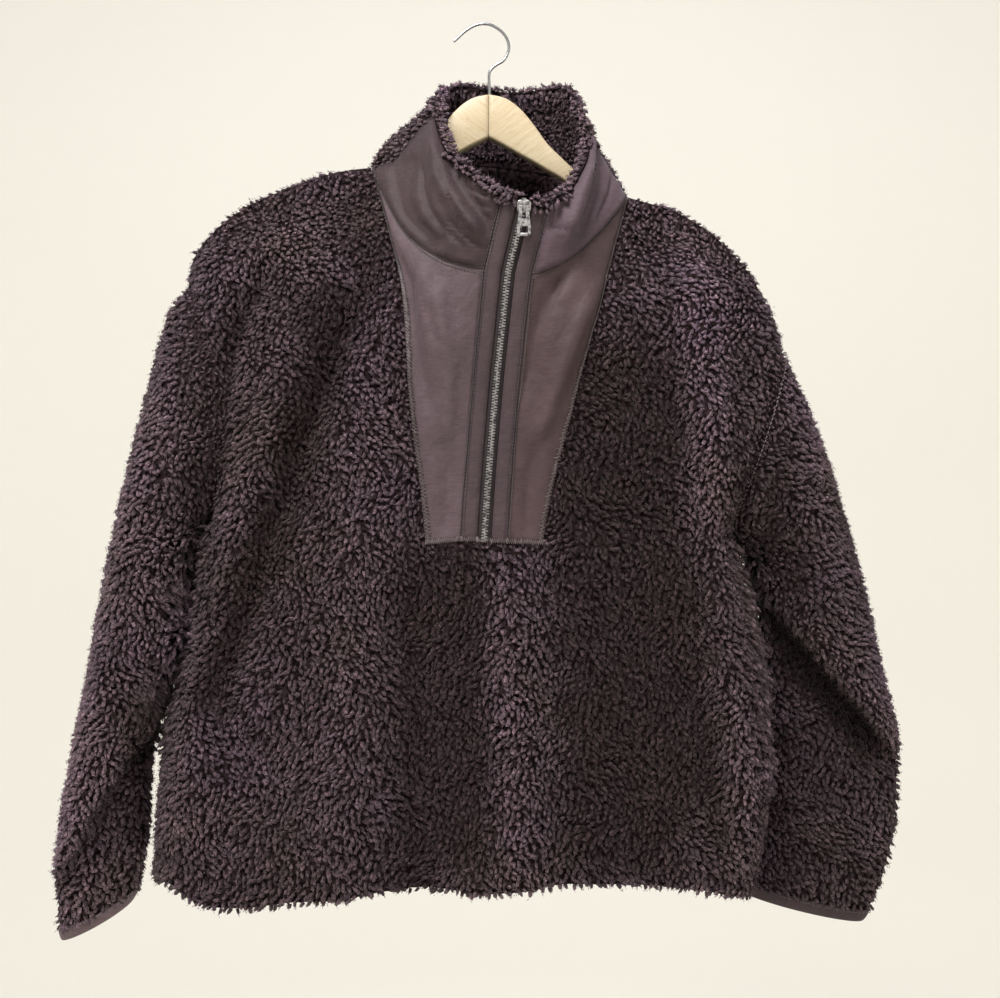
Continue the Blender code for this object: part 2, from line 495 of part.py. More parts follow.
def skin_grids():
    """Each panel's points (rows up, columns to the right as seen from outside)."""
    low = np.linspace(0, 1, ROWS_LOW + 1)
    up = np.linspace(1, 2, ROWS_UP + 1)
    height = np.concatenate([low, up[1:]])
    legs = np.linspace(0, 1, LEG_COLUMNS + 1)
    panel = np.linspace(0, 1, PLACKET_COLUMNS + 1)
    neck = np.linspace(0, 1, NECK_COLUMNS + 1)
    rise = np.array(COLLAR_RISE)
    reaches = [-ZIP_HALF - WELT_WIDTH, -ZIP_HALF, ZIP_HALF, ZIP_HALF + WELT_WIDTH]

    def across_low(t):
        left = [leg("left", t, u) for u in legs]
        right = [leg("right", t, u) for u in legs[::-1]]
        if t == 1.0:
            middle = [placket("left", 1.0, u) for u in panel[1:]]
            middle += [zip_side(1.0, r) for r in reaches[1:3]]
            middle += [placket("right", 1.0, u) for u in panel[:0:-1]]
        else:
            foot = [placket("left", 1.0, u) for u in panel[1:]] + [zip_side(1.0, r) for r in reaches[1:3]]
            foot += [placket("right", 1.0, u) for u in panel[:0:-1]]
            start, end = placket_edge("left", 1.0)[0], placket_edge("right", 1.0)[0]
            middle = [below_placket(t, (p[0] - start) / (end - start)) for p in foot]
            blend = smooth((t - 1 + FOOT_BLEND) / FOOT_BLEND)
            middle = [m + blend * (p - below_placket(1.0, (p[0] - start) / (end - start)))
                      for m, p in zip(middle, foot)]
        return left + middle + right

    lower = np.array([across_low(t) for t in low])
    count = lower.shape[1]
    hole = slice(LEG_COLUMNS, count - LEG_COLUMNS - 1)
    upper = np.full((ROWS_UP, count, 3), np.nan)
    for k, t in enumerate(up[1:]):
        upper[k, :LEG_COLUMNS + 1] = [leg("left", t, u) for u in legs]
        upper[k, count - LEG_COLUMNS - 1:] = [leg("right", t, u) for u in legs[::-1]]
    front = np.concatenate([lower, upper])
    mask = np.ones((ROWS_LOW + ROWS_UP, count - 1), bool)
    mask[ROWS_LOW:, hole] = False

    def across_back(t):
        right = [leg("right", t, u, back=True) for u in legs]
        middle = [back_neck(t, u) for u in neck[1:-1]]
        return right + middle + [leg("left", t, u, back=True) for u in legs[::-1]]

    back_rows = np.sort(np.append(height, RIDGE_ROW))
    turns = np.concatenate([(up - 1) / 2, 1 - (back_rows[ROWS_LOW:][::-1][1:] - 1) / 2])
    rings = np.linspace(0, 1, SLEEVE_RINGS + 1)
    back = np.array([across_back(t) for t in back_rows])
    grids = {"front_body": (front, mask), "back_body": (back, None)}
    grids["placket_left"] = (grid(lambda t, u: placket("left", t, u), up, panel), None)
    grids["placket_right"] = (grid(lambda t, u: placket("right", t, u), up, panel[::-1]), None)
    grids["collar_front_left"] = (grid(lambda r, u: collar_front("left", u, r), rise, panel), None)
    grids["collar_front_right"] = (grid(lambda r, u: collar_front("right", u, r), rise, panel[::-1]), None)
    grids["collar_back"] = (grid(lambda r, u: collar(back_column(u, r), r), rise, neck), None)
    zip_rows = [[zip_side(t, r) for r in reaches] for t in up]
    zip_rows += [[zip_top(reach, r) for reach in reaches] for r in rise[1:]]
    zip_rows = np.array(zip_rows)
    grids["zip_left"] = (zip_rows[:, 0:2], None)
    grids["zip_middle"] = (zip_rows[:, 1:3], None)
    grids["zip_right"] = (zip_rows[:, 2:4], None)
    for side in ("left", "right"):
        tube = grid(lambda q, turn, s=side: sleeve(s, q, turn), rings[::-1], turns)
        grids["sleeve_" + side] = (tube if side == "right" else tube[:, ::-1], None)
    return grids


def weld_normals(grids):
    """One normal for each place of the skin, shared by all panels that meet there.

    At an armhole the torso and the sleeve count the same, so the normal halves the fold."""
    groups = {}
    for name, (points, mask) in grids.items():
        sums = groups.setdefault(name if name.startswith("sleeve") else "torso", {})
        for i in range(points.shape[0] - 1):
            for j in range(points.shape[1] - 1):
                if mask is not None and not mask[i, j]:
                    continue
                a, b, c, d = points[i, j], points[i, j + 1], points[i + 1, j + 1], points[i + 1, j]
                normal = unit(np.cross(c - a, d - b))
                for corner in (a, b, c, d):
                    key = tuple(np.round(corner, 1))
                    sums[key] = sums.get(key, 0) + normal
    welded = {}
    for sums in groups.values():
        for key, normal in sums.items():
            welded[key] = welded.get(key, 0) + unit(normal)
    return {name: np.array([[unit(welded.get(tuple(np.round(p, 1)), np.zeros(3))) for p in row]
                            for row in points]) for name, (points, mask) in grids.items()}


def wall(points, normals, outer, inner, mask=None, around=False, gap=SEAM_GAP, mirrored=False):
    """A closed wall on a grid: vertices and triangles from skin + outer to skin + inner.

    mirrored says the grid runs the other way than the skin it follows, to share its diagonals."""
    rows, columns = points.shape[:2]
    outer = np.broadcast_to(outer, (rows, columns))
    inner = np.broadcast_to(inner, (rows, columns))
    ends = columns - 1 if around else columns
    index = -np.ones((rows, columns), int)
    quads = []
    for i in range(rows - 1):
        for j in range(columns - 1):
            if mask is None or mask[i, j]:
                quads.append(((i, j), (i, (j + 1) % ends), (i + 1, (j + 1) % ends), (i + 1, j)))
    edges = {}
    for quad in quads:
        for a, b in zip(quad, quad[1:] + quad[:1]):
            edges[(a, b)] = quad
    border = [(a, b) for (a, b) in edges if (b, a) not in edges]
    skin = points.copy()
    pulls = {}
    for a, b in border:
        direction = unit(points[b] - points[a])
        inward = unit(np.cross(unit(normals[a] + normals[b]), direction))
        for key in (a, b):
            pulls.setdefault(key, []).append(inward)
    for key, found in pulls.items():
        mean = unit(sum(found))
        skin[key] = skin[key] + mean * (gap / 2) / max(mean @ found[0], SHARPEST)
    used = sorted({corner for quad in quads for corner in quad})
    for number, key in enumerate(used):
        index[key] = number
    count = len(used)
    verts = [skin[k] + normals[k] * outer[k] for k in used]
    verts += [skin[k] + normals[k] * inner[k] for k in used]
    faces = []
    for quad in quads:
        a, b, c, d = (index[k] for k in (quad[1:] + quad[:1] if mirrored else quad))
        faces += [[a, b, c], [a, c, d]]
        faces += [[c + count, b + count, a + count], [d + count, c + count, a + count]]
    for a, b in border:
        quad = [index[b], index[a], index[a] + count, index[b] + count]
        if tuple(np.round(points[a], 2)) < tuple(np.round(points[b], 2)):
            faces += [[quad[0], quad[1], quad[3]], [quad[1], quad[2], quad[3]]]
        else:
            faces += [[quad[0], quad[1], quad[2]], [quad[0], quad[2], quad[3]]]
    return np.array(verts), faces


# ---------------------------------------------------------------- Blender objects
def material(name):
    found = bpy.data.materials.get(name)
    if found:
        return found
    colour, roughness, metallic = COLOURS[name]
    made = bpy.data.materials.new(name)
    made.use_nodes = True
    shader = made.node_tree.nodes["Principled BSDF"]
    shader.inputs["Base Color"].default_value = (*colour, 1.0)
    shader.inputs["Roughness"].default_value = roughness
    shader.inputs["Metallic"].default_value = metallic
    made.diffuse_color = (*colour, 1.0)
    return made


def add_object(name, verts, faces, finish):
    mesh = bpy.data.meshes.new(name)
    mesh.from_pydata([tuple(float(v) * MM for v in p) for p in verts], [], faces)
    mesh.validate()
    mesh.shade_smooth()
    mesh.materials.append(material(finish))
    made = bpy.data.objects.new(name, mesh)
    bpy.context.scene.collection.objects.link(made)
    return made


def pile_at(points, seams):
    """Pile height at each point: pressed flat at the given seams, full a little way off."""
    pile = np.full(points.shape[:2], PILE_OUT)
    for seam, flat, reach in seams:
        away = np.linalg.norm(points[:, :, None, :] - seam[None, None, :, :], axis=3).min(axis=2)
        ease = np.clip(np.nan_to_num(away, nan=reach) / reach, 0, 1)
        pile = np.minimum(pile, flat + (PILE_OUT - flat) * ease**2)
    return pile


def pressed_seams(grids):
    """The seams where the pile is pressed: armholes, back neck and the placket's edges."""
    armholes = [(grids["sleeve_" + side][0][-1], SEAM_PILE, SEAM_REACH) for side in ("left", "right")]
    neck = [(grids["collar_back"][0][0], NECK_PILE, NECK_REACH)]
    edges = [(grids["placket_left"][0][:, 0], EDGE_PILE, EDGE_REACH),
             (grids["placket_right"][0][:, -1], EDGE_PILE, EDGE_REACH)]
    return {"armholes": armholes, "neck": neck, "placket": edges}


def build_torso(grids, normals):
    seams = pressed_seams(grids)
    near = {"front_body": seams["armholes"] + seams["neck"] + seams["placket"],
            "back_body": seams["armholes"] + seams["neck"]}
    for name in near:
        points, mask = grids[name]
        pile = pile_at(points, near[name])
        add_object(name, *wall(points, normals[name], pile, -GROUND_IN, mask), "sherpa")
    for name, edge in (("placket_left", 0), ("placket_right", -1)):
        points, _ = grids[name]
        face, ground = np.full(points.shape[:2], WOVEN_HALF), np.full(points.shape[:2], -WOVEN_HALF)
        face[:, edge] = pile_at(points, near["front_body"])[:, edge]
        ground[:, edge] = -GROUND_IN
        add_object(name, *wall(points, normals[name], face, ground), "woven")
    for name in ("collar_front_left", "collar_front_right"):
        points, _ = grids[name]
        add_object(name, *wall(points, normals[name], WOVEN_HALF, -WOVEN_HALF), "woven")


def build_sleeves(grids, normals):
    for side in ("left", "right"):
        name = "sleeve_" + side
        points, _ = grids[name]
        pile = pile_at(points, pressed_seams(grids)["armholes"])
        add_object(name, *wall(points, normals[name], pile, -GROUND_IN, around=True), "sherpa")
        front_run, back_run = (sleeve(side, 1.0, turn) - sleeve(side, CUFF_AXIS_FROM, turn)
                               for turn in (0.25, 0.75))
        axis = unit(front_run + back_run)
        cuff, out = points[0], normals[name][0]
        end = cuff + axis * CUFF_BINDING - out * CUFF_TURN_IN
        band = np.array([end, cuff + axis * CUFF_BINDING / 2, cuff])
        verts, faces = wall(band, np.array([out] * 3), CUFF_HALF, -CUFF_HALF, around=True)
        add_object("cuff_binding_" + side, verts, faces, "woven")


def collar_ring(grids):
    """The whole collar as one grid, from the zip's right edge round the back to its left edge."""
    start = ROWS_UP
    return lambda data: np.concatenate([
        data("zip_right")[start:, :1], data("collar_front_right")[:, :-1], data("collar_back")[:, :-1],
        data("collar_front_left"), data("zip_left")[start:, 1:]], axis=1)


def build_collar(grids, normals):
    points, _ = grids["collar_back"]
    stop = len(COLLAR_RISE) - 1
    pile = pile_at(points[:stop], pressed_seams(grids)["neck"])
    ground = np.full(points[:stop].shape[:2], -WOVEN_HALF)
    ground[0] = -GROUND_IN
    add_object("collar_back", *wall(points[:stop], normals["collar_back"][:stop], pile, ground), "sherpa")
    ring = collar_ring(grids)
    wall_points = ring(lambda name: grids[name][0])
    wall_normals = ring(lambda name: normals[name])
    up = np.array([[unit(v) for v in row] for row in (wall_points[-1:] - wall_points[-2:-1])])[0]
    out = wall_normals[-1]
    foot = wall_points[0] + (wall_points[1] - wall_points[0]) * LINING_FOOT / COLLAR_RISE[1]
    ground = [foot - wall_normals[0] * LINING_CLEAR]
    ground += [p - n * LINING_CLEAR for p, n in zip(wall_points[1:], wall_normals[1:])]
    towards = [-wall_normals[0]] + [-n for n in wall_normals[1:]]
    rim = wall_points[-1]
    for rise, aside, turn_up, turn_out in ROLL[1:]:
        ground.append(rim + up * rise + out * aside)
        towards.append(np.array([unit(v) for v in up * turn_up + out * turn_out]))
    ground, towards = np.array(ground), np.array(towards)
    pile = np.full(ground.shape[:2], LINING_PILE)
    pile[0], pile[1] = LINING_FOOT_PILE, (LINING_FOOT_PILE + LINING_PILE) / 2
    pile[-1] = ROLL_END_PILE
    verts, faces = wall(ground[:, ::-1], towards[:, ::-1], pile[:, ::-1], 0.0, mirrored=True)
    add_object("collar_lining", verts, faces, "sherpa")


def build_zip(grids, normals):
    stop = ROWS_UP + len(COLLAR_RISE) - 1
    for side in ("left", "right"):
        name = "zip_" + side
        add_object("zip_welt_" + side,
                   *wall(grids[name][0][:stop], normals[name][:stop], WELT_OUT, -WOVEN_HALF), "woven")
    verts, faces = wall(grids["zip_middle"][0], normals["zip_middle"], CHAIN_OUT, -WOVEN_HALF)
    add_object("zip_chain", verts, faces, "tape")


def slider_frame():
    """The slider's place on the zip, and its right, up and outward directions."""
    up = unit((zip_top(0, 1.0) - zip_top(0, SLIDER_LEAN_FROM)) * np.array([0, 1, 1]))
    right = np.array([1.0, 0.0, 0.0])
    return zip_top(0, SLIDER_RISE), right, up, np.cross(right, up)


def cells(frame, across, along, missing, thick, out=0.0, widths=None):
    """A flat plate with square openings, from the lines that part it into cells."""
    centre, right, up, outward = frame
    widths = widths or [1.0] * len(along)
    points = np.array([[centre + right * x * w + up * z + outward * out for x in across]
                       for z, w in zip(along, widths)])
    mask = np.ones((len(along) - 1, len(across) - 1), bool)
    for i, j in missing:
        mask[i, j] = False
    normals = np.broadcast_to(outward, points.shape)
    return wall(points, normals, thick / 2, -thick / 2, mask, gap=0.0)


def build_slider():
    centre, right, up, out = slider_frame()
    width, height, thick = SLIDER_PLATE
    base = CHAIN_OUT + SEAM_GAP
    plate = cells((centre, right, up, out), [-width / 2, -width / 4, width / 4, width / 2],
                  [-height / 2, -height / 4, height / 4, height / 2], [], thick, base + thick / 2,
                  SLIDER_WIDTHS)
    slider = add_object("zip_slider", *plate, "zip_metal")
    wide, long, high = ARCH
    start = base + thick - ARCH_SINK
    lines = [-long / 2, -long / 2 + ARCH_WIRE, long / 2 - ARCH_WIRE, long / 2]
    rises = [0, ARCH_SINK + high - ARCH_WIRE, ARCH_SINK + high]
    frame = (centre + out * start, up, out, right)
    arch = add_object("arch", *cells(frame, lines, rises, [(0, 1)], wide), "zip_metal")
    arch.hide_render = True
    arch.display_type = "WIRE"
    union = slider.modifiers.new("arch", "BOOLEAN")
    union.operation, union.object = "UNION", arch
    return centre + out * (base + thick + (high - ARCH_WIRE) / 2)


def build_tab(hinge):
    """The pull tab hangs from a bar in the slider's arch; its origin is on the hinge."""
    slot_wide, slot_long = TAB_SLOT
    window_wide, window_long = TAB_WINDOW
    top = TAB_BAR
    rows = [-TAB_LENGTH, -TAB_LENGTH + TAB_RIM, -TAB_LENGTH + TAB_RIM + window_long,
            top - TAB_BAR * 2 - slot_long, top - TAB_BAR * 2, top]
    halves = [slot_wide / 2, window_wide / 2, TAB_WIDTH / 2]
    columns = [-half for half in reversed(halves)] + halves
    frame = (hinge, np.array([1.0, 0, 0]), np.array([0, 0, 1.0]), np.array([0, -1.0, 0]))
    missing = [(1, 1), (1, 2), (1, 3), (3, 2)]
    verts, faces = cells(frame, columns, rows, missing, TAB_THICK, widths=TAB_WIDTHS)
    tab = add_object("zip_pull", verts - hinge, faces, "zip_metal")
    tab.location = [float(v) * MM for v in hinge]


def build_hanger():
    for side, sign in (("left", -1), ("right", 1)):
        table = HANGER_ARMS[side]
        reach = table[-1][0]
        verts, faces = [], []
        half, turn = HANGER_THICK / 2, HANGER_EDGE
        for k in range(HANGER_STEPS + 1):
            x = reach * k / HANGER_STEPS
            up, low = track(table, x, "up", "low")
            loop = [(-half, low + turn), (-half, up - turn), (turn - half, up), (half - turn, up),
                    (half, up - turn), (half, low + turn), (half - turn, low), (turn - half, low)]
            verts += [(sign * (x + MITRE_GAP / 2), y, z) for y, z in loop]
            if k:
                a, b = 8 * (k - 1), 8 * k
                ring = [[a + i, a + (i + 1) % 8, b + (i + 1) % 8, b + i] for i in range(8)]
                faces += ring if side == "left" else [f[::-1] for f in ring]
        caps = [list(range(8))[::-1], [8 * HANGER_STEPS + i for i in range(8)]]
        faces += caps if side == "left" else [f[::-1] for f in caps]
        add_object("hanger_" + side, verts, faces, "wood")


def build_hook():
    steps = len(HOOK_PATH) - 2
    places = [track(HOOK_PATH, steps * k / HOOK_STEPS, "x", "z") for k in range(HOOK_STEPS + 1)]
    curve = bpy.data.curves.new("hanger_hook", "CURVE")
    curve.dimensions = "3D"
    curve.bevel_depth = WIRE_RADIUS * MM
    curve.bevel_resolution = 2
    curve.use_fill_caps = True
    line = curve.splines.new("POLY")
    line.points.add(len(places) - 1)
    for spot, (x, z) in zip(line.points, places):
        spot.co = (x * MM, 0.0, z * MM, 1.0)
    curve.materials.append(material("wire"))
    hook = bpy.data.objects.new("hanger_hook", curve)
    bpy.context.scene.collection.objects.link(hook)


def main():
    for old in list(bpy.data.objects):
        bpy.data.objects.remove(old)
    grids = skin_grids()
    normals = weld_normals(grids)
    build_torso(grids, normals)
    build_sleeves(grids, normals)
    build_collar(grids, normals)
    build_zip(grids, normals)
    build_tab(build_slider())
    build_hanger()
    build_hook()


main()
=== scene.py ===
"""The looks of a half-zip sherpa pullover on a wooden hanger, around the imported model.

Frame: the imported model's, metres, +Z up, -Y towards the viewer. Tables and sizes here are in
millimetres. The cloth's skin is worked out by the same functions and tables as its solids, on a
finer grid, and gets its pile, creases, stitches and teeth here.
"""

import math

import bpy
import numpy as np
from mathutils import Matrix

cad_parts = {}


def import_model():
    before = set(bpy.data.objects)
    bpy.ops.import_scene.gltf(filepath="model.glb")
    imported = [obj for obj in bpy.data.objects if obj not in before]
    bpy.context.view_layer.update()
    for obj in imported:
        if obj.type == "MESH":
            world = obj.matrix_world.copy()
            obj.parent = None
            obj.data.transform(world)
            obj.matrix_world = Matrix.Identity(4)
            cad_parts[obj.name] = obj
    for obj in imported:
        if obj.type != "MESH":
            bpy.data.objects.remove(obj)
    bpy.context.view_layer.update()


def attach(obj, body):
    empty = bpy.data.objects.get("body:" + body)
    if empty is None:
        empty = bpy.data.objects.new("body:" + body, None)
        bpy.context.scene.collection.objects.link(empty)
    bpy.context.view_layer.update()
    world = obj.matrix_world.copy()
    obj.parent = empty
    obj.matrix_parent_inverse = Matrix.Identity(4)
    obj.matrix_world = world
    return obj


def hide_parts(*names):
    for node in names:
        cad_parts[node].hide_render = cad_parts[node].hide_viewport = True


MM = 0.001
SEED = 11
SIDES = ("left", "right")
SEAM_GAP = 0.3                # between two panels at a seam
WOVEN_HALF = 0.6              # half of the woven cloth
GROUND_IN = 1.3               # thickness of the fleece's knitted ground, in from the skin
PILE_FULL = 5.4               # height of the pile over the ground
PILE_APART = 3.25             # between two curls of the pile
# Ripples: amount, size and seed.
PILE_RIPPLES = ((0.12, 26.0, 5),)                     # of the pile's height, as a share of it
FLOW_RIPPLES = ((1.0, 75.0, 8), (0.5, 34.0, 9))       # of the way the curls lie, in radians
NAP_RIPPLES = ((0.07, 55.0, 21), (0.05, 18.0, 23))
LINING_FLOW_RIPPLES = ((1.2, 40.0, 15),)
LINING_NAP_RIPPLES = ((0.06, 20.0, 25),)
PILE_SHEEN = 0.15
WEAVE_SCALE, TAPE_WEAVE_SCALE = 420.0, 700.0
GRAIN_TURN = 0.62             # slope of the wood's grain, in radians

# Colours, linear.
# The pile's roots and the ground's loops are painted dark: painted shade deep between the curls.
PILE_ROOT_SHADE = (0.0085, 0.004, 0.005)
PILE_LOOP_SHADE = (0.034, 0.021, 0.024)
PILE_TIP = (0.122, 0.088, 0.101)
# The woven panels are one cloth; its copies below are painted lighter and darker for light and shade:
# painted shade on the right placket, the left front collar, the welts and the right cuff, painted light on
# the left cuff.
WOVEN = (0.098, 0.066, 0.077)
WOVEN_RIGHT_SHADED = (0.076, 0.047, 0.049)
WOVEN_COLLAR_LEFT_SHADED = (0.046, 0.027, 0.031)
WOVEN_WELT_SHADED = (0.066, 0.043, 0.050)
WOVEN_CUFF_LEFT = (0.150, 0.105, 0.115)     # it catches the light
WOVEN_CUFF_SHADED = (0.050, 0.032, 0.036)
WOVEN_COLLAR_RIGHT = (0.090, 0.058, 0.073)
TAPE = (0.024, 0.017, 0.019)
THREAD = (0.060, 0.043, 0.047)
THREAD_PALE = (0.23, 0.180, 0.188)
THREAD_BRIGHT = (0.36, 0.28, 0.29)
STEEL = (0.66, 0.64, 0.66)
# dark patches of the metal: partly wear, partly painted shade
STEEL_WEAR_AND_SHADE = (0.09, 0.085, 0.09)
CHROME = (0.40, 0.40, 0.42)
BEECH = (0.585, 0.475, 0.315)
BEECH_DARK = (0.54, 0.425, 0.268)
BEECH_LIGHT = (0.635, 0.54, 0.375)
WALL = (0.86, 0.835, 0.775)

# The zip slider and its pull tab. Sizes run across, up along the zip and out from it.
WELT_OUT = 1.8                # the folded welt stands this far out of the skin
CHAIN_OUT = 1.2
SLIDER_RISE = 0.90            # place on the collar's height
SLIDER_PLATE = (11.0, 9.5, 1.8)
SLIDER_WIDTHS = (0.62, 0.9, 1.0, 0.8, 0.5)        # from its foot to its head, over its own width
ARCH = (2.2, 7.0, 3.7)        # the bridge that holds the tab
ARCH_WIRE, ARCH_SUNK = 1.3, 0.4
TAB_WIDTH, TAB_LENGTH, TAB_THICK = 10.5, 22.0, 1.3
TAB_BAR = 0.75                # half height of the bar in the arch
TAB_SLOT = (3.6, 8.5)         # open slot over the bridge: width, length
TAB_WINDOW = (6.0, 5.0)       # window near the tab's end: width, length
TAB_RIM = 2.2
TAB_WIDTHS = (0.72, 1.0, 1.0, 0.84, 0.7, 0.7)

# The hanger: each arm's upper and lower edge, going away from the mitre.
HANGER_ARMS = {
    "left": [("x", "up", "low"),
             (0, -56.5, -91), (14, -60, -98), (26, -69, -104.5), (36, -81, -110), (46, -94, -115.5),
             (58, -106, -121.5), (75, -124, -134), (92, -133, -147), (120, -136, -155), (145, -143, -163),
             (180, -162, -181), (206, -183, -203)],
    "right": [("x", "up", "low"),
              (0, -56.5, -91), (14, -60, -98.5), (26, -69, -105.5), (36, -81, -111), (46, -95, -117),
              (58, -107, -124), (90, -137, -152), (100, -147, -160), (109, -151, -166),
              (150, -159, -180), (180, -179, -200), (204, -204, -222)],
}
HANGER_THICK = 12.0
HANGER_EDGE = 2.5             # rounding of the wood's long edges
MITRE_GAP = 0.3               # between the hanger's two arms
WIRE_RADIUS = 1.15
HOOK_PATH = [("i", "x", "z"),
             (0, 0.5, -56.0), (1, 0.4, -48), (2, 0.6, -38), (3, 5, -32.5), (4, 12, -28), (5, 16, -20),
             (6, 15, -12), (7, 10, -4.9), (8, 1, 0.5), (9, -9, 0.5), (10, -18, -4.2), (11, -24, -9.5),
             (12, -28, -13)]

COLLAR_BACK_ROWS = 28        # rows of the back collar's outside, below the roll
LINING_SHELL = 0.9            # thickness of the lining's ground
LINING_APART = 2.6
RIM_BED = 1.4                 # how far the rim's curls stand out of their ground
RIM_REACH, RIM_PILE, RIM_APART = 13.0, 6.4, 1.55
CROWN_STRAY, CROWN_TURN, CROWN_PILE = 0.9, 0.35, (3.4, 4.8)   # the curls that stand on the rim
# painted shade inside the collar's lining and painted light on its rim, as values of the nap
NAP_INSIDE_SHADE, NAP_RIM_LIGHT = 0.38, 0.72
NAP_FRONT = {"sleeve_right": 26.0, "other": 8.0}     # depth up to which the front's painted light and shade reach
NAP_FRONT_OVER = 20.0
ROLL_SWELL = 2.5              # how far the pile of the rim's left front stands further in
ROLL_LEFT, ROLL_FRONT, ROLL_OVER = -6.0, 8.0, 14.0        # where that is, in X and Y
# How much longer the pile is beside a sleeve, high up and low down, and the height where that changes.
SIDE_FLUFF = {"left": (1.5, 0.35), "right": (1.7, 1.4)}
FLUFF_FROM, FLUFF_OVER = -592.0, 30.0
FLUFF_REACH = 9.0             # and how far from the side it goes
FLUFF_BODY, FLUFF_SLEEVE = np.linspace(0.3, 1.0, 12), np.linspace(0.15, 0.8, 12)    # along t and q
HANGER_FINE, HOOK_FINE = 60, 110        # steps along an arm and along the hook
ELBOW_SEAM = (229, -449, 319, -560)

NAP_PLAIN = 0.5
NAP_SHADE_PER_FOLD = 0.020          # painted shade and light: change of the nap for each millimetre of fold
# painted shade (+) and painted light (-) on each forearm beyond the elbow's fold
NAP_FOREARM_SHADE = {"left": -0.06, "right": 0.20}
NAP_LOW = 0.2                 # the darkest that the painted shade of streaks and soft folds makes the nap
NAP_FOLD_SHADOW = 0.6              # painted shadow: under a sleeve's fold the pile is this much darker
NAP_FOLD_HIGHLIGHT = 0.2               # and a painted highlight makes its edge this much lighter
# the widths of that painted shadow and painted highlight
NAP_SHADOW_OVER, NAP_HIGHLIGHT_WIDE = 5.0, 6.0
NAP_SHADOW_WIDE = {"left": 12.0, "right": 34.0}
FOLD_GAIN = 1.25              # the scene's folds against the solids'
BACK_APART = 1.12             # the back's curls are this much further apart
SLEEVE_LEAN = {"left": -0.3, "right": 0.5}        # the way the sleeves' curls lie
HEM_APART, HEM_PILE = 2.6, 4.6          # the hem's curls
HEM_OUT, HEM_DOWN, HEM_TURN = 0.55, 0.85, 0.8     # the way they point and how unevenly they lie
HEM_STRAY, HEM_DEEP, HEM_UP = 0.5, (-0.6, 1.6), (0.5, 3.5)    # where they start, off the edge

# Painted light and shade on the front, standing partly for the way the nap lies: streaks that are
# lighter (+) or darker (-), each with a half width and the places it runs through in X and Z.
NAP_AND_SHADE_STREAKS = {
    "front_body": [
        (-0.46, 17, ((-130, -227), (-142, -304), (-151, -357), (-172, -420))),
        (-0.34, 14, ((-172, -420), (-197, -474), (-216, -530))),
        (-0.20, 18, ((-50, -425), (-49, -532), (-52, -639))),
        (-0.38, 19, ((-20, -425), (-17, -530), (-17, -640))),
        (-0.32, 30, ((85, -296), (76, -425), (79, -532), (88, -631))),
        (-0.33, 28, ((127, -288), (128, -425), (132, -532), (123, -623))),
        (-0.16, 10, ((193, -296), (193, -380), (198, -456))),
        (-0.55, 9, ((-240, -500), (-252, -535), (-262, -575))),
        (0.04, 16, ((9, -448), (9, -639))),
        (0.30, 14, ((163, -210), (166, -296), (163, -390))),
        (-0.14, 18, ((170, -440), (172, -520), (176, -590))),
        (0.22, 10, ((196, -540), (200, -654))),
        (0.26, 24, ((154, -182), (173, -227))),
        (-0.20, 16, ((-227, -380), (-212, -456))),
        (0.14, 22, ((-181, -189), (-143, -163))),
        (-0.16, 14, ((-101, -144), (-88, -220))),
        (0.12, 22, ((-174, -593), (-227, -639))),
        (0.14, 10, ((20, -680), (90, -677), (170, -682)))],
    "sleeve_left": [
        (0.24, 22, ((-258, -304), (-282, -395), (-302, -502), (-315, -608))),
        (0.34, 15, ((-256, -410), (-258, -470), (-262, -526))),
        (-0.30, 11, ((-222, -350), (-226, -400), (-232, -456))),
        (-0.14, 14, ((-210, -212), (-227, -304))),
        (-0.50, 12, ((-258, -548), (-268, -600), (-274, -640))),
        (-0.55, 9, ((-252, -512), (-262, -545), (-270, -575))),
        (0.42, 26, ((-312, -560), (-326, -620), (-334, -690)))],
    "sleeve_right": [
        (0.34, 14, ((214, -240), (238, -300), (262, -350))),
        (-0.22, 16, ((227, -340), (224, -395), (230, -441))),
        (0.16, 12, ((257, -380), (285, -464), (304, -524))),
        (-0.12, 26, ((224, -532), (237, -639))),
        (-0.26, 18, ((228, -420), (236, -470))),
        (0.34, 12, ((318, -470), (323, -560), (318, -660))),
        (-0.14, 10, ((211, -486), (218, -578)))],
}

# Each panel's flat cut: width, length, area in metres, and what it hangs from.
# Heights on the body (t): 0 is the hem, 1 the underarm and the placket's foot, 2 the shoulder seam.
# Side seams, left and right as the viewer sees them.
SIDE_SEAMS = {
    "left": [("t", "x", "y", "z"),
             (0.0, -265, 0, -673), (0.25, -260, 0, -607), (0.5, -247, 0, -540),
             (0.75, -231, 0, -471), (1.0, -222, 2, -402)],
    "right": [("t", "x", "y", "z"),
              (0.0, 206, -16, -687), (0.25, 218, -18, -614), (0.5, 215, -16, -545),
              (0.75, 206, -8, -475), (1.0, 188, 4, -405)],
}

# Armholes: shoulder point, underarm point, and how far the front and back halves reach.
ARMHOLES = {
    "left": {"top": (-240, 0, -209), "under": (-222, 2, -402), "front": (18, -33, 0), "back": (4, 34, 0)},
    "right": {"top": (232, 2, -258), "under": (188, 4, -405), "front": (2, -37, 0), "back": (0, 38, 0)},
}

# Shoulder seams from the armhole (u = 0) to the neck point (u = 1).
SHOULDERS = {
    "left": [("u", "x", "y", "z"),
             (0.0, -240, 0, -209), (0.1, -235, -3, -187), (0.2, -222, -5, -170),
             (0.45, -186, -7, -144), (0.7, -143, -8, -127), (0.85, -117, -8, -119),
             (1.0, -92, -8, -116)],
    "right": [("u", "x", "y", "z"),
              (0.0, 232, 2, -258), (0.2, 220, -4, -222), (0.45, 193, -7, -183),
              (0.7, 156, -8, -155), (1.0, 109, -8, -139)],
}

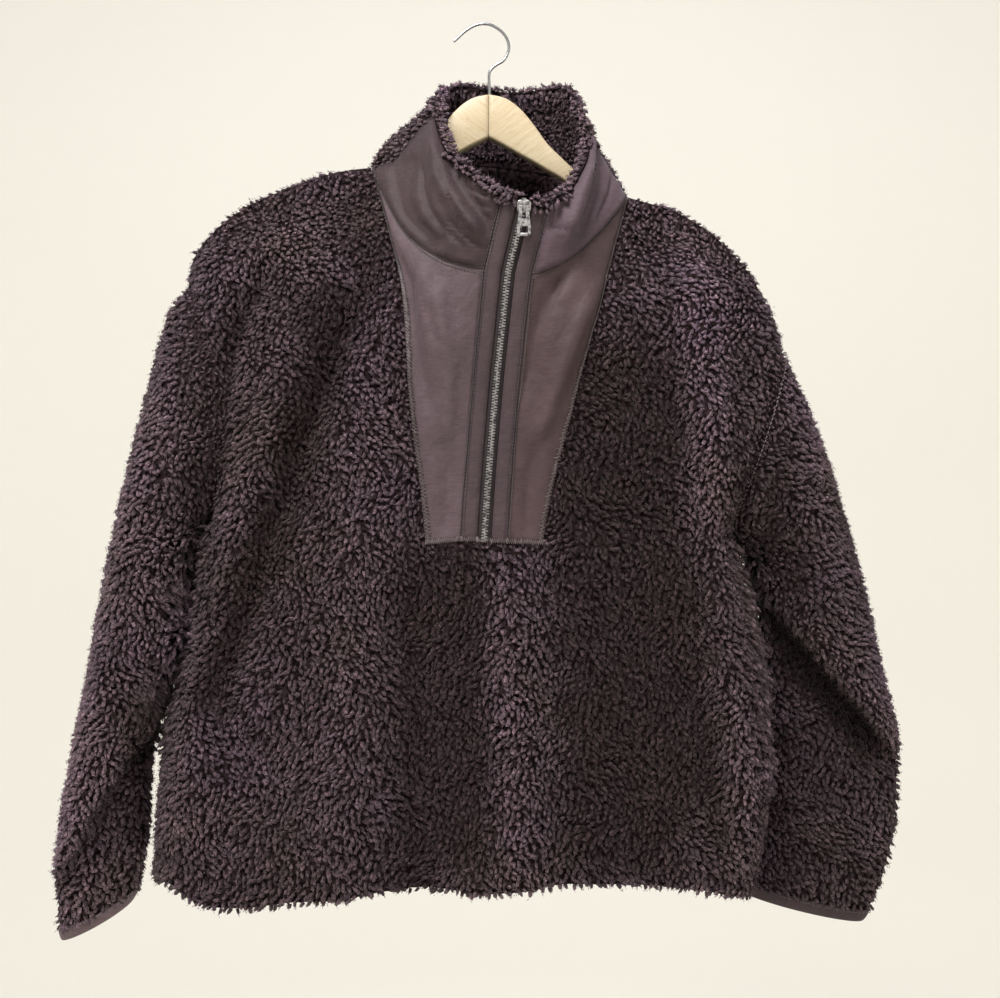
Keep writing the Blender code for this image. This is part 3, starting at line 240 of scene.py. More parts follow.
# The placket's two outer edges and the zip's axis. Below t = 1 they run on to the hem.
PLACKET_EDGES = {
    "left": [("t", "x", "y", "z"),
             (0.0, -60, -44, -683), (0.5, -52, -46, -548), (1.0, -48, -47, -413),
             (1.4, -60, -46, -303), (1.75, -69, -41, -203), (1.88, -78, -31, -163), (2.0, -92, -8, -116)],
    "right": [("t", "x", "y", "z"),
              (0.0, 58, -44, -683), (0.5, 48, -46, -548), (1.0, 42, -47, -413),
              (1.4, 66, -46, -303), (1.72, 87, -41, -219), (1.87, 98, -28, -178), (2.0, 109, -8, -139)],
}
# The front hem dips and rises by this much from the straight line between its seams' corners.
HEM_RISE = [("x", "rise"), (-263, -3), (-247, -2), (-223, -15), (-191, -17), (-151, -10), (-111, -5),
            (-87, 0), (-67, 2), (-23, 4), (-7, 2), (23, 6), (57, 9), (89, 7), (113, 6), (137, 6),
            (169, 5), (185, 2), (201, -2)]
ZIP_AXIS = [("t", "x", "y", "z"),
            (0.0, -8, -47, -683), (0.5, -6, -49, -548), (1.0, -3, -51, -411),
            (1.4, 5, -53, -304), (1.75, 11, -58, -245), (2.0, 15, -62, -208)]
ZIP_HALF = 5.5                # half of the zip's tape between the welts
WELT_WIDTH = 12.0

# Depth of the body at each height: beside the seams, at the placket, and of the back.
SECTIONS = [("t", "front_side", "front_mid", "back_side", "back_mid", "corner"),
            (0.0, 40, 45, 33, 36, 34), (0.5, 42, 46, 34, 38, 34), (1.0, 43, 47, 34, 40, 32),
            (1.5, 39, 46, 34, 42, 24), (1.8, 27, 40, 27, 38, 16),
            (1.917, 17, 26, 14, 22, 12), (1.96, 12, 16, 3, 6, 11), (2.0, 7, 8, -7, -8, 10)]
CORNER_TURN = 0.28            # share of a leg's columns that turn the corner at the side seam
CROWN_FROM = 1.15             # from this height up the rows take on the shoulder seam's curve
NECK_CROWN_FROM = 1.2         # the same for the middle of the back
YOKE_FROM = 1.8               # from here up the front falls back to the shoulder seam's depth
NECK_DEPTH_FROM = 1.75        # from here up the back's middle comes forward to the neck seam
BACK_BULGE = 3.0              # the back's middle lies this much deeper than its sides
# The back panel comes over the shoulder: its rows are lifted by this share of their drop.
RIDGE_AT_NECK = 0.25          # the lift that is left at the neck point
RIDGE = [("t", "lift"), (1.7, 0.0), (1.83, 0.28), (1.917, 0.62), (1.96, 1.4), (2.0, 1.4)]

# Soft folds of the torso: three points down each, half width, and depth (out is negative).
FOLD_COLUMNS = ("x0", "z0", "x1", "z1", "x2", "z2", "half_width", "depth")
FRONT_FOLDS = {
    "beside_left_sleeve": (-166, -190, -194, -250, -208, -357, 12, 9),
    "left_panel_ridge": (-121, -205, -172, -364, -226, -605, 22, -6),
    "left_panel_trough": (-90, -200, -141, -326, -208, -533, 15, 14),
    "placket_side_ridge": (-82, -257, -91, -426, -121, -656, 24, -6),
    "left_centre_trough": (-64, -428, -50, -549, -56, -690, 24, 11),
    "centre_ridge": (17, -430, 24, -549, 28, -690, 20, -9),
    "right_centre_trough": (86, -326, 114, -495, 112, -690, 34, 11),
    "right_side_ridge": (160, -200, 178, -380, 194, -610, 16, -7),
    "right_yoke_trough": (98, -222, 124, -272, 152, -330, 12, 6),
    "right_hem_trough": (150, -520, 172, -587, 180, -650, 12, 8),
}
BACK_FOLDS = {
    "back_left_trough": (-120, -220, -140, -400, -165, -660, 24, -10),
    "back_centre_ridge": (-30, -240, -36, -430, -44, -690, 30, 8),
    "back_right_trough": (60, -240, 74, -430, 82, -690, 26, -10),
    "back_right_ridge": (130, -260, 140, -430, 150, -670, 22, 7),
    "back_side_trough": (-190, -330, -205, -450, -215, -600, 16, -6),
}

FOLD_ENDS = (0.12, 0.3, 1.25, 0.35)   # where a fold fades in and out, as shares of its length
LEG_EASE = 0.2                # share of a leg over which its own shape sets in from an end
MIDDLE_FROM = 0.25            # from this share of a leg on the front comes to the placket's depth
RIDGE_FALL = 0.7              # and from this one on the back's ridge falls to the neck point
NECK_EASE, NECK_FADE = 0.45, 0.3      # the same for the back's middle, across it and below the neck
FOOT_FROM, FOOT_OVER = 0.85, 0.15     # heights over which the front takes the placket foot's shape
ELBOW_EASE = 0.25             # share of the sleeve over which the elbow's step sets in
DIP_FROM, DIP_OVER = 0.8, 0.2         # and over which its cuff begins to dip
SIDE_FADE = 0.22              # folds die out over this share of a leg at the side seam
TOP_FADE = 0.25               # and over this height below the shoulder seam
PLACKET_FADE = 0.4            # and over this share of a leg beside the placket
FOOT_FADE = 0.25              # and over this height below the placket's foot

# Sleeves from the armhole (q = 0) to the cuff (q = 1): outer and inner edge, depth of the ring.
SLEEVES = {
    "left": [("q", "ox", "oz", "ix", "iz", "y", "front", "back"),
             (0.00, -240, -209, -222, -402, 1, 33, 34), (0.04, -254, -230, -228, -403, 1, 36, 36),
             (0.12, -271, -292, -234, -407, 0, 40, 38), (0.25, -287, -365, -239, -421, -1, 44, 41),
             (0.38, -297, -414, -241, -447, -2, 47, 43), (0.50, -306, -462, -245, -482, -2, 48, 44),
             (0.62, -314, -510, -254, -520, -2, 48, 44), (0.75, -325, -566, -271, -566, -2, 47, 43),
             (0.86, -336, -625, -273, -612, -2, 44, 40), (0.94, -343, -676, -275, -652, -2, 41, 37),
             (1.00, -342, -719, -281, -688, -2, 38, 34)],
    "right": [("q", "ox", "oz", "ix", "iz", "y", "front", "back"),
              (0.00, 232, -258, 188, -405, 3, 37, 38), (0.12, 257, -312, 200, -411, 10, 42, 36),
              (0.25, 277, -364, 211, -423, 18, 46, 33), (0.38, 292, -410, 218, -447, 24, 50, 30),
              (0.50, 306, -458, 222, -478, 28, 52, 27), (0.62, 318, -512, 224, -518, 29, 52, 26),
              (0.75, 332, -575, 223, -568, 28, 50, 26), (0.86, 333, -628, 219, -615, 26, 47, 25),
              (0.94, 325, -675, 214, -655, 24, 43, 25), (1.00, 310, -713, 207, -688, 22, 40, 24)],
}
# The elbow's fold: the forearm lies this much deeper on the far side of a slanting line.
ELBOWS = {
    "left": {"start": (-243, -512), "end": (-308, -618), "deeper": 24, "over": 9},
    "right": {"start": (190, -416), "end": (336, -585), "deeper": -32, "over": 8},
}
ARMHOLE_BLEND = 0.3           # share of the sleeve over which the armhole's own shape fades out
CUFF_BINDING = 10.0           # width of the smooth binding
CUFF_TURN_IN = 1.5            # the binding draws in by this much at its end
CUFF_FRONT_DIP = 4.0          # the front of the cuff hangs this much lower

# The collar from the zip round the left side, the back and the right side: base, rim, and how far
# its wall bellies out between them.
COLLAR = [("c", "bx", "by", "bz", "rx", "ry", "rz", "swell"),
          (0.0, 15, -62, -208, 28, -74, -156, 4), (1.0, -14, -60, -205, 7, -69, -143, 4),
          (2.0, -44, -52, -193, -15, -56, -127, 4), (3.0, -68, -38, -168, -33, -37, -103, 5),
          (4.0, -92, -8, -116, -40, -12, -73, 7), (5.0, -88, 7, -111, -40, 1, -62, 7),
          (7.0, -68, 28, -104, -30, 22, -44, 5), (10.0, 6, 43, -104, 20, 43, -43, 4),
          (13.0, 80, 26, -121, 66, 22, -47, 3), (15.0, 99, 7, -131, 73, 1, -72, 0),
          (16.0, 109, -8, -139, 76, -12, -86, 0), (17.0, 91, -34, -165, 72, -35, -114, 2),
          (18.0, 67, -51, -189, 59, -55, -136, 4), (19.0, 41, -60, -204, 44, -68, -148, 4),
          (20.0, 15, -62, -208, 28, -74, -156, 4)]
NECK_POINTS = (4.0, 16.0)     # columns where the shoulder seams meet the collar, left and right
NECK_CENTRE = (12.0, 5.0)     # the neck opening's middle in X and Y
FRONT_COLUMNS = 3.35          # columns from a neck point to the welt
SEAM_BOW = 0.35               # the left seam with the back collar bows forward by this many columns
ZIP_LEAN = 0.22               # the rim falls back this much to each side of the zip
LINING_CLEAR = 1.4            # lining's ground from the skin
LINING_PILE, LINING_LESS = 6.0, 1.2     # room for the lining's pile, and how much lower it is in there
LINING_FOOT = 0.15            # the lining starts this share of the collar's height above the neck seam
RIM_ROLL = 4.5                # the lining comes this far down outside the rim
# The lining's way over the rim: its ground's place and its pile's direction, up the wall and out of it.
ROLL = [("up", "out", "pile_up", "pile_out"),
        (1.2, -0.2, 1.0, 0.0), (0.6, 1.5, 0.5, 1.0), (-RIM_ROLL, 1.6, 0.0, 1.0)]

# ---------------------------------------------------------------- small helpers
RIPPLE_WAVES, RIPPLE_GAIN = 7, 1.6      # waves in a ripple, and what brings their mean up to about 1
_slopes = {}


def prepared(table, names):
    """A table's knots, values and slopes, worked out once. Keeping the table too keeps its id its own."""
    key = (id(table), names)
    if key not in _slopes:
        heads = table[0]
        rows = np.array(table[1:], float)
        values = rows[:, [heads.index(name) for name in names]]
        _slopes[key] = (table, rows[:, 0], values, np.gradient(values, rows[:, 0], axis=0))
    return _slopes[key][1:]


def track(table, at, *names):
    """The named columns of a table at a place in its first column, on a smooth curve."""
    knots, values, slopes = prepared(table, names)
    at = min(max(at, knots[0]), knots[-1])
    k = min(int(np.searchsorted(knots, at, side="right")) - 1, len(knots) - 2)
    step = knots[k + 1] - knots[k]
    s = (at - knots[k]) / step
    near, far = values[k], values[k + 1]
    return ((2 * s**3 - 3 * s**2 + 1) * near + (s**3 - 2 * s**2 + s) * step * slopes[k]
            + (3 * s**2 - 2 * s**3) * far + (s**3 - s**2) * step * slopes[k + 1])


def smooth(x):
    """0 below 0, 1 above 1, and an easy curve between."""
    x = np.clip(x, 0.0, 1.0)
    return x * x * (3 - 2 * x)


def unit(vectors):
    """Vectors of length one, along the last axis."""
    return vectors / np.maximum(np.linalg.norm(vectors, axis=-1, keepdims=True), 1e-12)


def fold_lines(folds):
    """Each fold's line as a table of x by its share of the way down, with its ends and strength."""
    lines = []
    for row in folds.values():
        fold = dict(zip(FOLD_COLUMNS, row))
        middle = (fold["z0"] - fold["z1"]) / (fold["z0"] - fold["z2"])
        line = [("v", "x"), (0.0, fold["x0"]), (middle, fold["x1"]), (1.0, fold["x2"])]
        lines.append((fold, line))
    return lines


def fold_shift(folds, x, z):
    """How far the folds move the cloth in depth at a place of the front view."""
    before, rise, after, fall = FOLD_ENDS
    shift = 0.0
    for fold, line in folds:
        down = (fold["z0"] - z) / (fold["z0"] - fold["z2"])
        aside = (x - track(line, down, "x")[0]) / fold["half_width"]
        if abs(aside) < 3:
            ends = smooth((down + before) / rise) * smooth((after - down) / fall)
            shift += FOLD_GAIN * fold["depth"] * ends * math.exp(-aside * aside)
    return shift


def ripple(points, size, seed):
    """A soft uneven field from -1 to 1 over points, with bumps about size across."""
    rng = np.random.default_rng(seed)
    total = 0.0
    for _ in range(RIPPLE_WAVES):
        direction = unit(rng.normal(size=3))
        total = total + np.sin(points @ direction * 2 * math.pi / (size * rng.uniform(0.7, 1.6))
                               + rng.uniform(0, 2 * math.pi))
    return total / RIPPLE_WAVES * RIPPLE_GAIN


def rippled(value, points, rows):
    """A value, or a field over points, with ripples on it."""
    for amount, size, seed in rows:
        value = value + amount * ripple(points, size, seed)
    return value


# ---------------------------------------------------------------- the skin, as functions
def armhole(side, turn):
    """A point of the armhole: turn 0 is the underarm, 0.5 the shoulder point, 1 the underarm again."""
    hole = ARMHOLES[side]
    top, under = np.array(hole["top"], float), np.array(hole["under"], float)
    across = math.sin(2 * math.pi * turn)
    reach = np.array(hole["front"] if across > 0 else hole["back"], float)
    return (top + under) / 2 + (under - top) / 2 * math.cos(2 * math.pi * turn) + reach * abs(across)


def side_edge(side, t, back):
    """The torso's side at height t: the side seam, then one half of the armhole."""
    if t <= 1.0:
        return track(SIDE_SEAMS[side], t, "x", "y", "z")
    turn = (t - 1.0) / 2
    return armhole(side, 1 - turn if back else turn)


def placket_edge(side, t):
    return track(PLACKET_EDGES[side], t, "x", "y", "z")


def welt_line(side, t):
    """The line of a welt's outer side, where it meets its placket panel."""
    return zip_side(t, (-1 if side == "left" else 1) * (ZIP_HALF + WELT_WIDTH))


def zip_axis(t):
    return track(ZIP_AXIS, t, "x", "y", "z")


def leg(side, t, u, back=False):
    """The torso beside the placket: u runs from the side (0) to the placket's edge (1)."""
    outer, inner = side_edge(side, t, back), placket_edge(side, t)
    depth_side, depth_mid, corner = track(
        SECTIONS, t, "back_side" if back else "front_side", "back_mid" if back else "front_mid", "corner")
    width = abs(inner[0] - outer[0])
    share = corner / width
    if u < CORNER_TURN:
        angle = math.pi / 2 * u / CORNER_TURN
        along, rise = share * (1 - math.cos(angle)), math.sin(angle)
    else:
        along, rise = share + (1 - share) * (u - CORNER_TURN) / (1 - CORNER_TURN), 1.0
    point = outer + (inner - outer) * along
    crown = smooth((t - CROWN_FROM) / (2 - CROWN_FROM)) ** 2
    seam = track(SHOULDERS[side], u, "x", "y", "z")
    chord = track(SHOULDERS[side], 0, "x", "y", "z") * (1 - along) + placket_edge(side, 2.0) * along
    point = point + crown * (seam - chord) * np.array([1, 0, 1])
    if back:
        target = depth_side + (depth_mid - depth_side) * smooth(u)
    else:
        target = -depth_side + (inner[1] + depth_side) * smooth((u - MIDDLE_FROM) / (1 - MIDDLE_FROM))
    level = outer[1] + (target - outer[1]) * rise
    if t == 2.0:
        level = seam[1]
    elif t > YOKE_FROM and not back:
        yoke = smooth((t - YOKE_FROM) / (2 - YOKE_FROM))
        level += (seam[1] - level) * yoke * smooth(u / LEG_EASE) * smooth((1 - u) / LEG_EASE)
    point[1] = level
    if back and t > RIDGE[1][0]:
        fall = smooth((u - RIDGE_FALL) / 0.3)
        ends = smooth(u / LEG_EASE) * (1 - (1 - RIDGE_AT_NECK) * fall)
        point[2] += (seam[2] - point[2]) * track(RIDGE, t, "lift")[0] * ends
    fade = smooth(u / SIDE_FADE) * smooth((2.0 - t) / TOP_FADE)
    if not back:
        point[2] += hem_rise(t, point[0]) * smooth(u / LEG_EASE)
        beside = smooth((u - 1 + PLACKET_FADE) / PLACKET_FADE)
        fade *= 1 - beside * smooth((t - 1 + FOOT_FADE) / FOOT_FADE)
    point[1] += fade * fold_shift(BACK_LINES if back else FRONT_LINES, point[0], point[2])
    return point


FRONT_LINES = fold_lines(FRONT_FOLDS)
BACK_LINES = fold_lines(BACK_FOLDS)
_across = {}


def hem_rise(t, x):
    """How much the front's rows rise at x, all of it at the hem and none from the underarm up."""
    return track(HEM_RISE, x, "rise")[0] * max(1.0 - t, 0.0) ** 2


def below_placket(t, u):
    """The front between the two placket edges' lines, from left (0) to right (1), below the placket."""
    if t not in _across:
        _across[t] = [("u", "x", "y", "z"), (0.0, *placket_edge("left", t)), (0.5, *zip_axis(t)),
                      (1.0, *placket_edge("right", t))]
    point = track(_across[t], u, "x", "y", "z")
    point[2] += hem_rise(t, point[0])
    fade = 1 - smooth((t - 1 + FOOT_FADE) / FOOT_FADE)
    point[1] += fade * fold_shift(FRONT_LINES, point[0], point[2])
    return point


def rightwards(along):
    """The direction to the viewer's right, square to the one given."""
    right = unit(np.cross(along, np.array([0.0, 1.0, 0.0])))
    return right if right[0] > 0 else -right


def zip_side(t, reach):
    """A point beside the zip's axis, reach to the viewer's right of it."""
    along = unit(zip_axis(min(t + 0.02, 2.0)) - zip_axis(min(t + 0.02, 2.0) - 0.04))
    return zip_axis(t) + rightwards(along) * reach


def placket(side, t, u):
    """A placket panel: u runs from its outer edge (0) to the line of its welt (1)."""
    v = t - 1.0
    outer, inner = placket_edge(side, t), welt_line(side, t)
    foot_a, foot_b = placket_edge(side, 1.0), welt_line(side, 1.0)
    head_a, head_b = placket_edge(side, 2.0), welt_line(side, 2.0)
    across = outer * (1 - u) + inner * u
    along = foot_a * (1 - u) * (1 - v) + foot_b * u * (1 - v) + head_a * (1 - u) * v + head_b * u * v
    foot = foot_a * (1 - u) + foot_b * u
    head = collar_base(side, u)
    return across + foot * (1 - v) + head * v - along


def collar_columns(side, u):
    """The collar's column that stands over a place on the placket panel's upper edge."""
    return NECK_POINTS[0] - FRONT_COLUMNS * u if side == "left" else NECK_POINTS[1] + FRONT_COLUMNS * u


def collar_base(side, u):
    """The neck seam over a placket panel, from the neck point (0) to the welt (1)."""
    point = track(COLLAR, collar_columns(side, u), "bx", "by", "bz")
    end = track(COLLAR, collar_columns(side, 1.0), "bx", "by", "bz")
    return point + (welt_line(side, 2.0) - end) * u


def collar(c, r, share=1.0):
    """The collar's wall at column c, from its base (0) to its rim (1), with a share of its belly."""
    base = track(COLLAR, c, "bx", "by", "bz")
    rim = track(COLLAR, c, "rx", "ry", "rz")
    swell = track(COLLAR, c, "swell")[0]
    out = unit(np.array([base[0] - NECK_CENTRE[0], base[1] - NECK_CENTRE[1], 0.0]))
    return base + (rim - base) * r + out * share * swell * math.sin(math.pi * r)


def collar_front(side, u, r):
    """A front collar panel over its placket panel, with the same places along the neck seam."""
    sign = -1 if side == "left" else 1
    c = collar_columns(side, u)
    shift = collar_base(side, u) - collar(c, 0.0)
    bow = SEAM_BOW * math.sin(math.pi * r) * (1 - u) ** 2 if side == "left" else 0.0
    top = zip_top(sign * (ZIP_HALF + WELT_WIDTH), 1.0) - collar(collar_columns(side, 1.0), 1.0)
    return collar(c - bow, r, 1 - u ** 3) + shift * (1 - r) + top * u * r


def zip_top(reach, r):
    """The zip's stretch on the collar, reach to the right of its axis."""
    base, rim = zip_side(2.0, reach), track(COLLAR, 0.0, "rx", "ry", "rz")
    lean = np.array([0.0, abs(reach) * ZIP_LEAN, 0.0])
    return base * (1 - r) + (rim + rightwards(unit(rim - zip_axis(2.0))) * reach + lean) * r


def back_column(u, r=0.0):
    """The collar's column over the back neck, from the right neck point (0) to the left (1)."""
    bow = SEAM_BOW * math.sin(math.pi * r) * u ** 4
    return NECK_POINTS[1] + (NECK_POINTS[0] - NECK_POINTS[1]) * u - bow


def back_neck(t, u):
    """The back between the two neck points, from right (0) to left (1)."""
    a, b = leg("right", t, 1.0, back=True), leg("left", t, 1.0, back=True)
    seam = track(COLLAR, back_column(u), "bx", "by", "bz")
    chord = placket_edge("right", 2.0) * (1 - u) + placket_edge("left", 2.0) * u
    crown = smooth((t - NECK_CROWN_FROM) / (2 - NECK_CROWN_FROM)) ** 1.5
    point = a * (1 - u) + b * u + crown * (seam - chord) * np.array([1, 0, 1])
    depth = track(SECTIONS, min(t, YOKE_FROM), "back_mid")[0] + BACK_BULGE * math.sin(math.pi * u)
    middle = smooth(u / NECK_EASE) * smooth((1 - u) / NECK_EASE)
    level = point[1] * (1 - middle) + depth * middle
    point[1] = level + (seam[1] - level) * smooth((t - NECK_DEPTH_FROM) / (2 - NECK_DEPTH_FROM))
    fade = smooth((2.0 - t) / NECK_FADE) * middle
    point[1] += fade * fold_shift(BACK_LINES, point[0], point[2])
    return point


def sleeve_ring(side, q):
    """A sleeve's outer and inner edge and its depth to the front and back, from its table."""
    ox, oz, ix, iz, y, *depths = track(SLEEVES[side], q, "ox", "oz", "ix", "iz", "y", "front", "back")
    return np.array([ox, y, oz]), np.array([ix, y, iz]), *depths


def sleeve(side, q, turn):
    """The sleeve: q runs from armhole to cuff, turn as on the armhole."""
    outer, inner, front, back = sleeve_ring(side, q)
    cosine, sine = math.cos(2 * math.pi * turn), math.sin(2 * math.pi * turn)
    point = (outer + inner) / 2 + (inner - outer) / 2 * cosine
    point = point + (armhole(side, turn) - plain_ring(side, turn)) * (1 - smooth(q / ARMHOLE_BLEND))
    front -= elbow_step(side, point[0], point[2]) * smooth(q / ELBOW_EASE)
    point[1] += -front * sine if sine > 0 else -back * sine
    point[2] -= CUFF_FRONT_DIP * sine * smooth((q - DIP_FROM) / DIP_OVER)
    return point


def beyond_elbow(side, x, z):
    """How far a place lies beyond the elbow's slanting fold."""
    elbow = ELBOWS[side]
    start, end = np.array(elbow["start"], float), np.array(elbow["end"], float)
    along = unit(end - start)
    rest = np.array([x, z]) - start
    return (along[0] * rest[1] - along[1] * rest[0]) * np.sign(elbow["deeper"])


def elbow_step(side, x, z):
    """How much deeper the front of the sleeve lies beyond the elbow's slanting fold."""
    elbow = ELBOWS[side]
    start, end = np.array(elbow["start"], float), np.array(elbow["end"], float)
    run = (np.array([x, z]) - start) @ unit(end - start)
    step = smooth(beyond_elbow(side, x, z) / elbow["over"])
    return abs(elbow["deeper"]) * step * smooth(run / 40.0 + 0.6)


def plain_ring(side, turn):
    """The armhole as a plain ring of the sleeve's table, without its own shape."""
    outer, inner, front, back = sleeve_ring(side, 0)
    cosine, sine = math.cos(2 * math.pi * turn), math.sin(2 * math.pi * turn)
    reach = -front * sine if sine > 0 else -back * sine
    return (outer + inner) / 2 + (inner - outer) / 2 * cosine + np.array([0, reach, 0])


# ---------------------------------------------------------------- panels as fine grids of the skin
LEG_FINE = 34                 # columns beside the placket, on each side
PLACKET_FINE = 18             # columns across a placket panel or a front collar panel
ZIP_STEPS = 3                 # columns across the zip and across each welt
NECK_FINE = 44                # columns of the back neck and the back collar
LOW_FINE, UP_FINE = 52, 48    # rows below and above the underarm
RISE_FINE = 30                # rows of the collar
PLACKET_ROWS = 64
SLEEVE_FINE, AROUND_FINE = 96, 76


def grid(point_at, rows, columns):
    return np.array([[point_at(r, c) for c in columns] for r in rows])


def front_grid():
    """The front's points and which of its cells are cloth, with the placket's place left open."""
    legs = np.linspace(0, 1, LEG_FINE + 1)
    panel = np.linspace(0, 1, PLACKET_FINE + 1)
    welt = ZIP_HALF + WELT_WIDTH
    reaches = np.linspace(-welt, welt, 3 * ZIP_STEPS + 1)
    foot = [placket("left", 1.0, u) for u in panel[1:]] + [zip_side(1.0, r) for r in reaches[1:-1]]
    foot += [placket("right", 1.0, u) for u in panel[:0:-1]]
    start, end = placket_edge("left", 1.0)[0], placket_edge("right", 1.0)[0]
    shares = [(p[0] - start) / (end - start) for p in foot]
    level = [below_placket(1.0, share) for share in shares]
    rows = []
    for t in np.concatenate([np.linspace(0, 1, LOW_FINE + 1), np.linspace(1, 2, UP_FINE + 1)[1:]]):
        left = [leg("left", t, u) for u in legs]
        right = [leg("right", t, u) for u in legs[::-1]]
        middle = [np.full(3, np.nan)] * len(foot)
        if t <= 1.0:
            blend = smooth((t - FOOT_FROM) / FOOT_OVER)
            middle = [below_placket(t, share) + blend * (p - flat)
                      for share, p, flat in zip(shares, foot, level)]
        rows.append(left + middle + right)
    points = np.array(rows)
    mask = np.ones((points.shape[0] - 1, points.shape[1] - 1), bool)
    mask[LOW_FINE:, LEG_FINE:points.shape[1] - LEG_FINE - 1] = False
    return points, mask


def back_grid():
    legs = np.linspace(0, 1, LEG_FINE + 1)
    neck = np.linspace(0, 1, NECK_FINE + 1)
    rows = []
    for t in np.concatenate([np.linspace(0, 1, LOW_FINE + 1), np.linspace(1, 2, UP_FINE + 1)[1:]]):
        right = [leg("right", t, u, back=True) for u in legs]
        middle = [back_neck(t, u) for u in neck[1:-1]]
        rows.append(right + middle + [leg("left", t, u, back=True) for u in legs[::-1]])
    return np.array(rows)


def sleeve_grid(side):
    turns = np.linspace(0, 1, AROUND_FINE + 1)
    tube = grid(lambda q, turn: sleeve(side, q, turn), np.linspace(1, 0, SLEEVE_FINE + 1), turns)
    return tube if side == "right" else tube[:, ::-1]


def zip_grid(low, high):
    """The zip's stretch between two reaches from its axis, up the placket and then the collar."""
    reaches = np.linspace(low, high, ZIP_STEPS + 1)
    rows = [[zip_side(t, r) for r in reaches] for t in np.linspace(1, 2, PLACKET_ROWS + 1)]
    rows += [[zip_top(reach, r) for reach in reaches] for r in np.linspace(0, 1, RISE_FINE + 1)[1:]]
    return np.array(rows)


def normals_of(points, mask=None):
    """Outward normals of a grid whose rows run up and whose columns run to the right."""
    a, b, c, d = points[:-1, :-1], points[:-1, 1:], points[1:, 1:], points[1:, :-1]
    faces = unit(np.cross(c - a, d - b))
    faces = np.where(mask[..., None], faces, 0) if mask is not None else faces
    total = np.zeros_like(points)
    for rows, columns in ((slice(None, -1), slice(None, -1)), (slice(None, -1), slice(1, None)),
                          (slice(1, None), slice(1, None)), (slice(1, None), slice(None, -1))):
        total[rows, columns] += faces
    return unit(total)


def tube_normals(points):
    """The same for a grid whose last column meets its first."""
    wide = np.concatenate([points[:, -2:-1], points, points[:, 1:2]], axis=1)
    return normals_of(wide)[:, 1:-1]


# ---------------------------------------------------------------- Blender pieces
def add_piece(name, verts, faces, finish, body="garment", shade_smooth=True):
    """A mesh from points in millimetres, with its material, riding on a body."""
    mesh = bpy.data.meshes.new(name)
    mesh.from_pydata((np.asarray(verts, float) * MM).tolist(), [], [list(map(int, f)) for f in faces])
    mesh.validate()
    if shade_smooth:
        mesh.shade_smooth()
    mesh.materials.append(finish)
    piece = bpy.data.objects.new(name, mesh)
    bpy.context.scene.collection.objects.link(piece)
    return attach(piece, body) or piece


def cover(piece, name):
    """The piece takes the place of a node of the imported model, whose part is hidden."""
    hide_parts(name)
    return piece


def wall(points, normals, outer, inner, mask=None, around=False):
    """A closed sheet on a grid, from skin + outer to skin + inner: vertices and faces."""
    rows, columns = points.shape[:2]
    outer = np.broadcast_to(outer, (rows, columns))[..., None]
    inner = np.broadcast_to(inner, (rows, columns))[..., None]
    ends = columns - 1 if around else columns
    quads = [((i, j), (i, (j + 1) % ends), (i + 1, (j + 1) % ends), (i + 1, j))
             for i in range(rows - 1) for j in range(columns - 1) if mask is None or mask[i, j]]
    sides = {(a, b) for quad in quads for a, b in zip(quad, quad[1:] + quad[:1])}
    border = sorted((a, b) for a, b in sides if (b, a) not in sides)
    used = sorted({corner for quad in quads for corner in quad})
    index = {key: number for number, key in enumerate(used)}
    pick = tuple(np.array(used).T)
    skin, out = points[pick], normals[pick]
    verts = np.concatenate([skin + out * outer[pick], skin + out * inner[pick]])
    count = len(used)
    faces = [[index[k] for k in quad] for quad in quads]
    faces += [[index[k] + count for k in reversed(quad)] for quad in quads]
    faces += [[index[b], index[a], index[a] + count, index[b] + count] for a, b in border]
    return verts, faces


# ---------------------------------------------------------------- the pile
TUFT_SIDES, TUFT_STEPS = 3, 3
TUFT_RINGS = (0.55, 2.3)      # places of the rings along the curl, in thirds of it
TUFT_WIDTHS = (1.0, 0.86)     # half widths at the rings, as shares of the tuft's own
TUFT_THICK = 0.8              # thickness over width
TUFT_LONG = (0.95, 1.28)      # length over the pile's height
TUFT_HALF = (1.5, 2.25)       # half width at full height
TUFT_START = (0.0, 0.6)       # lean at the root, radians
TUFT_BEND = (1.2, 2.1)        # and how much more it bends over
TUFT_SPREAD, TUFT_SWING = 0.42, 0.5     # how unevenly the curls lie, and turn aside on their way
TUFT_ROOT = 0.8               # a curl starts this deep in the ground
WISPS = 5                     # loose fibres on each tuft
WISP_HALF, WISP_LONG = (0.22, 0.42), (1.1, 2.5)
WISP_FOOT = (0.55, 0.95)      # how far out of the curl a fibre starts, over the curl's half width
WISP_TURN, WISP_RISE, WISP_SPREAD = 0.5, 0.45, 0.35     # which way the fibres point
RING_DEPTHS, WISP_DEPTHS = (0.22, 0.85), [0.6, 0.6, 1.0]     # 0 at the root's painted shade, 1 at the tip's colour


